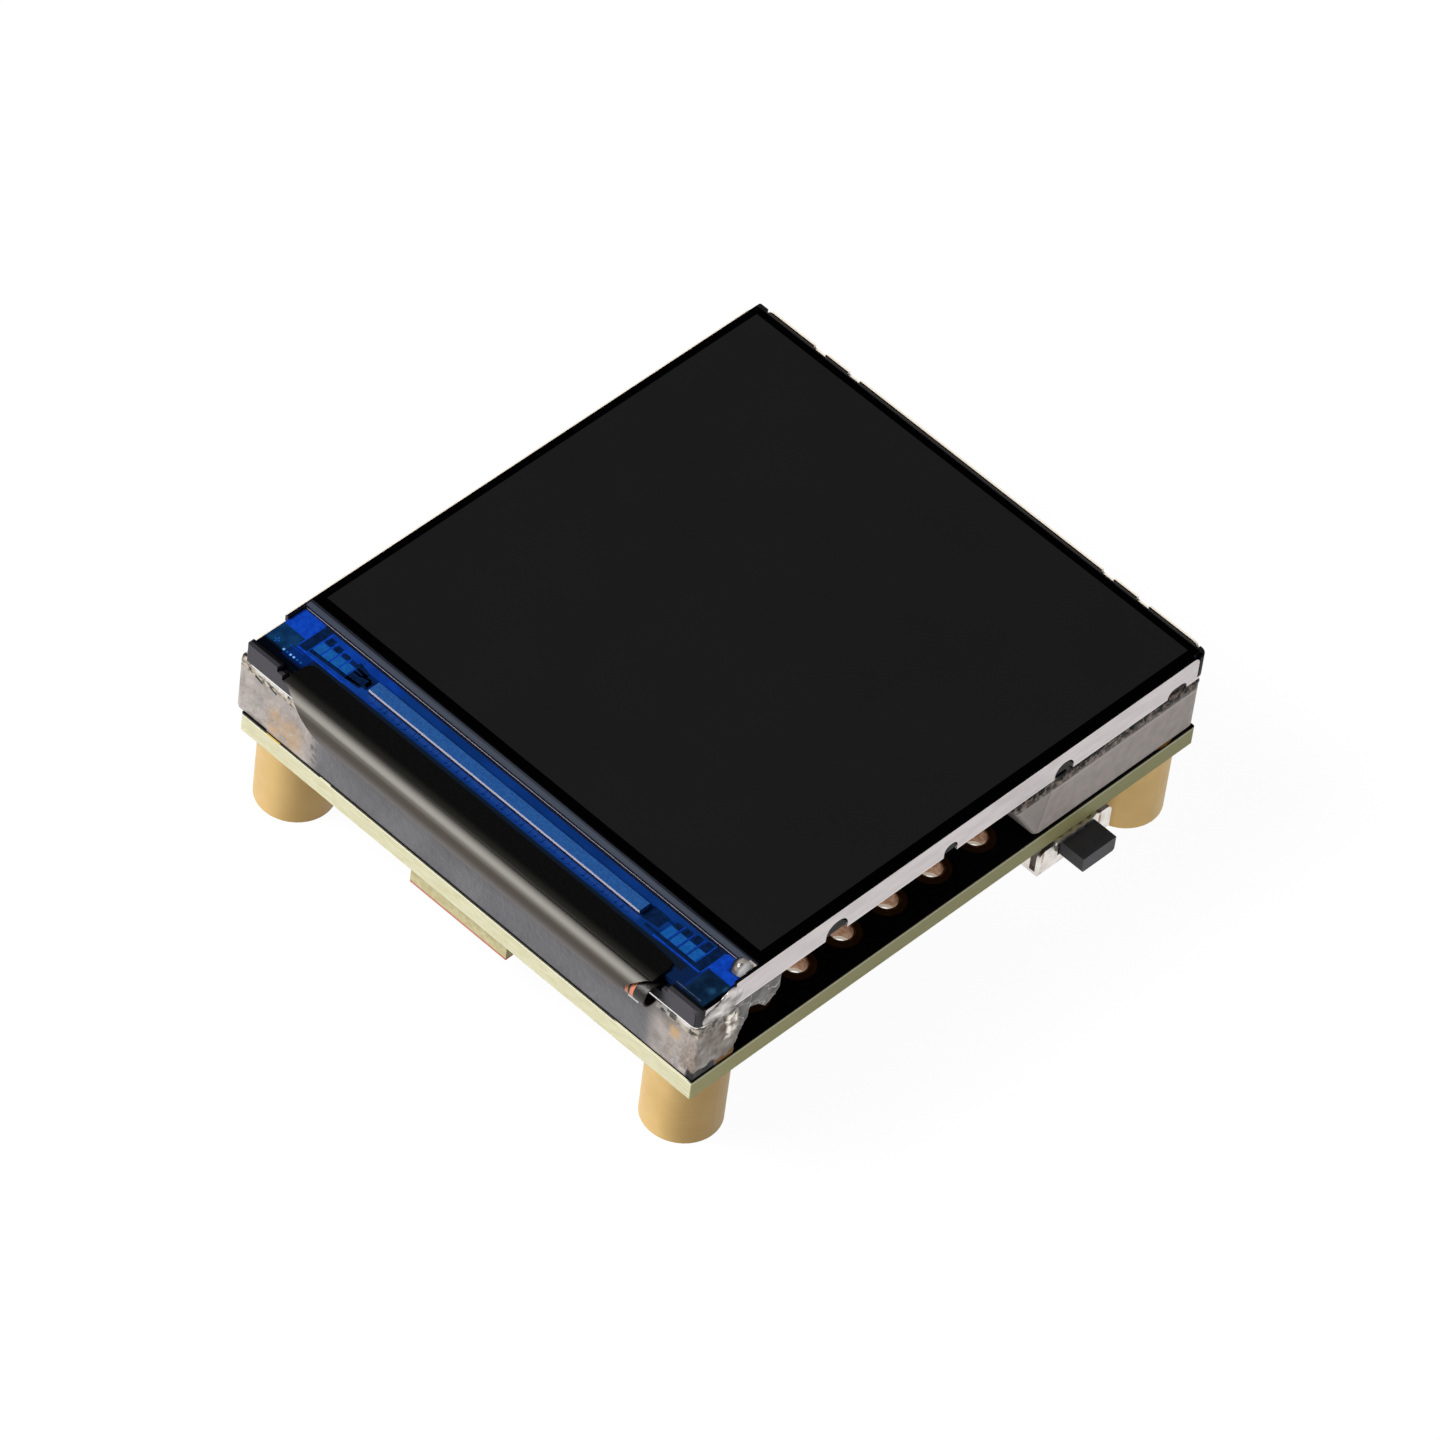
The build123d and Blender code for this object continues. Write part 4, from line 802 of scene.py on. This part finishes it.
# the cover's crinkled upper flap, bent over the plunger under the board
flap_x, flap_y, flap_z = 12.7, 7.5, 3.38
flap_width, flap_length, flap_height, crinkle = 0.28, 2.5, 0.2, 0.05
for side in (-1, 1):
    bpy.ops.object.select_all(action="DESELECT")
    bpy.ops.mesh.primitive_cube_add(size=1, location=(side * flap_x * MM, flap_y * MM, flap_z * MM))
    flap = bpy.context.object
    flap.name = "key_flap_right" if side > 0 else "key_flap_left"
    flap.scale = (flap_width * MM, flap_length * MM, flap_height * MM)
    bpy.ops.object.transform_apply(location=True, rotation=True, scale=True)
    bpy.ops.object.mode_set(mode="EDIT")
    bpy.ops.mesh.select_all(action="SELECT")
    bpy.ops.mesh.subdivide(number_cuts=12)
    bpy.ops.object.mode_set(mode="OBJECT")
    for vertex in flap.data.vertices:
        share = (vertex.co.y / MM - (flap_y - flap_length / 2)) / flap_length
        vertex.co.z += crinkle * MM * math.sin(share * 29) * (0.5 + share)
        vertex.co.x -= side * crinkle * MM * (1 - math.sin(share * math.pi))
    rounding = flap.modifiers.new("rounding", "BEVEL")
    rounding.width = 0.03 * MM
    rounding.segments = 2
    bpy.ops.object.modifier_apply(modifier="rounding")
    bpy.ops.object.shade_smooth_by_angle(angle=0.6)
    put_on(flap, key_steel)
    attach(flap, "board")

# the body's ends are pale where the tinned cover wraps round them
key_body = Finish("key_body", (40, 40, 42), 0.55, specular=0.3)
key_body.ground((44, 44, 46), (30, 30, 32), key_body.grain(0.2))
body_ends = [key_body.patch(x=side, y=end)
             for side in ((12.25, 12.9), (-12.9, -12.25)) for end in ((5.4, 5.66), (8.98, 9.6))]
key_body.coat((196, 182, 174), key_body.either(*body_ends))
key_body.tooth(0.08, 0.004)
key_body.dress("right_key_base", "left_key_base")

plunger = Finish("plunger_plastic", (44, 44, 50), 0.45, specular=0.35)
plunger.ground((46, 46, 52), (34, 34, 40), plunger.grain(0.15, detail=3))
# the top faces are painted lighter and the end faces a little lighter: painted light on the one plastic
plunger.coat((84, 84, 94), plunger.turned("Z", 0.7))
plunger.coat((66, 66, 72), plunger.across("X", 0.7))
plunger.tooth(0.06, 0.004)
plunger.dress("right_key_plunger", "left_key_plunger")

# ---------------------------------------------------------------- receptacle and socket underneath
# The drawn steel shell of the data receptacle with its black core, and the
# cream nylon battery socket, both soldered under the far edge.

shell = Finish("shell_steel", (200, 200, 202), 0.28, metallic=0.9)
shell.gloss(shell.grain(0.2, 0.22, 0.38, stretch=(1, 0.05, 1)))
shell.tooth(0.06, 0.002, stretch=(1, 0.05, 1))
shell.dress("usb_shell")

core = Finish("core_nylon", (26, 26, 28), 0.5)
core.ground((28, 28, 30), (18, 18, 20), core.grain(0.2))
core.dress("usb_core")

nylon = Finish("cream_nylon", (228, 220, 196), 0.5)
nylon.ground((232, 224, 202), (218, 208, 182), nylon.grain(0.6))
nylon.tooth(0.1, 0.004)
nylon.dress("battery_socket")

# ---------------------------------------------------------------- chips underneath
# Moulded black packages, a steel crystal can, a ferrite coil and the small
# ceramic parts, reflowed on the underside.

package = Finish("package_resin", (42, 42, 44), 0.6, specular=0.3)
package.ground((46, 46, 48), (34, 34, 36), package.grain(0.15, detail=4))
package.tooth(0.05, 0.004)
package.dress("processor_chip", "memory_chip", "motion_sensor", "regulator", "charger", "backlight_switch")

can = Finish("crystal_can", (206, 200, 188), 0.3, metallic=0.85)
can.gloss(can.grain(0.2, 0.2, 0.4, stretch=(0.1, 1, 1)))
can.dress("crystal")

ferrite = Finish("ferrite", (92, 92, 96), 0.6)
ferrite.ground((98, 98, 102), (78, 78, 82), ferrite.grain(0.1, detail=4))
ferrite.dress("power_coil")

capacitor = Finish("capacitor_ceramic", (156, 126, 96), 0.4)
capacitor.ground((160, 130, 98), (140, 110, 82), capacitor.grain(0.1))
capacitor.dress("capacitors")

resistor = Finish("resistor_glaze", (40, 40, 44), 0.35)
resistor.ground((42, 42, 46), (30, 30, 34), resistor.grain(0.1))
resistor.dress("resistors")

indicator = Finish("indicator_resin", (226, 222, 200), 0.2)
indicator.shader["Transmission Weight"].default_value = 0.3
indicator.ground((230, 226, 204), (214, 208, 182), indicator.grain(0.3))
indicator.dress("indicator_lamps")

# ---------------------------------------------------------------- table, light and camera
# A white table under the board, one large soft lamp from the front left, and a
# pale room with a dim ceiling.

bpy.ops.object.select_all(action="DESELECT")
bpy.ops.mesh.primitive_plane_add(size=3.0, location=(0, 0, 0))
table_top = bpy.context.object
table_top.name = "table_top"
table_finish = bpy.data.materials.new("white_table")
table_finish.use_nodes = True
tree = table_finish.node_tree
tree.nodes.clear()
paper = tree.nodes.new("ShaderNodeBsdfDiffuse")
paper.inputs["Color"].default_value = (0.5, 0.5, 0.5, 1)
glow = tree.nodes.new("ShaderNodeEmission")
glow.inputs["Color"].default_value = (1, 1, 1, 1)
glow.inputs["Strength"].default_value = 1.07
# the table glows where it is seen straight, mirrored or through glass
path = tree.nodes.new("ShaderNodeLightPath")
seen = path.outputs["Is Camera Ray"]
for ray in ("Is Glossy Ray", "Is Transmission Ray"):
    both = tree.nodes.new("ShaderNodeMath")
    both.operation = "MAXIMUM"
    tree.links.new(seen, both.inputs[0])
    tree.links.new(path.outputs[ray], both.inputs[1])
    seen = both.outputs[0]
share = tree.nodes.new("ShaderNodeMath")
share.operation = "MULTIPLY"
share.inputs[1].default_value = 0.9
blend = tree.nodes.new("ShaderNodeMixShader")
out = tree.nodes.new("ShaderNodeOutputMaterial")
for source, target in ((seen, share.inputs[0]), (share.outputs[0], blend.inputs[0]),
                       (paper.outputs[0], blend.inputs[1]), (glow.outputs[0], blend.inputs[2]),
                       (blend.outputs[0], out.inputs["Surface"])):
    tree.links.new(source, target)
table_top.data.materials.append(table_finish)

room = bpy.data.worlds.new("white_room")
bpy.context.scene.world = room
room.use_nodes = True
tree = room.node_tree
tree.nodes.clear()
around = tree.nodes.new("ShaderNodeTexCoord")
height = tree.nodes.new("ShaderNodeSeparateXYZ")
ceiling = tree.nodes.new("ShaderNodeMapRange")
for name, number in (("From Min", 0.05), ("From Max", 0.6), ("To Min", 0.35), ("To Max", 0.06)):
    ceiling.inputs[name].default_value = number
path = tree.nodes.new("ShaderNodeLightPath")
level = tree.nodes.new("ShaderNodeMix")
level.inputs[3].default_value = 1.0
sky = tree.nodes.new("ShaderNodeBackground")
sky.inputs["Color"].default_value = (1, 1, 1, 1)
out = tree.nodes.new("ShaderNodeOutputWorld")
for source, target in ((around.outputs["Generated"], height.inputs[0]), (height.outputs["Z"], ceiling.inputs["Value"]),
                       (path.outputs["Is Camera Ray"], level.inputs[0]), (ceiling.outputs["Result"], level.inputs[2]),
                       (level.outputs[0], sky.inputs["Strength"]), (sky.outputs[0], out.inputs["Surface"])):
    tree.links.new(source, target)

lamp_data = bpy.data.lights.new("front_left_lamp", "AREA")
lamp_data.size = 0.5
lamp_data.energy = 12.0
lamp = bpy.data.objects.new("front_left_lamp", lamp_data)
bpy.context.scene.collection.objects.link(lamp)
lamp.location = (-0.42, -0.52, 0.74)
lamp.rotation_euler = Vector(lamp.location).normalized().to_track_quat("Z", "Y").to_euler()

camera_data = bpy.data.cameras.new("camera")
camera_data.sensor_width = 36.0
camera_data.lens = 271.854
camera_data.clip_start = 0.01
camera_data.clip_end = 10.0
camera = bpy.data.objects.new("camera", camera_data)
bpy.context.scene.collection.objects.link(camera)
# the view, as fitted to the edges of the board and the glass
right = (0.705732, 0.702434, 0.092350)
up = (-0.567215, 0.482092, 0.667723)
back = (0.424510, -0.523616, 0.738659)
eye = (0.183758, -0.226686, 0.324193)
camera.matrix_world = Matrix([[right[i], up[i], back[i], eye[i]] for i in range(3)] + [[0, 0, 0, 1]])
bpy.context.scene.camera = camera
bpy.context.scene.view_settings.view_transform = "Standard"
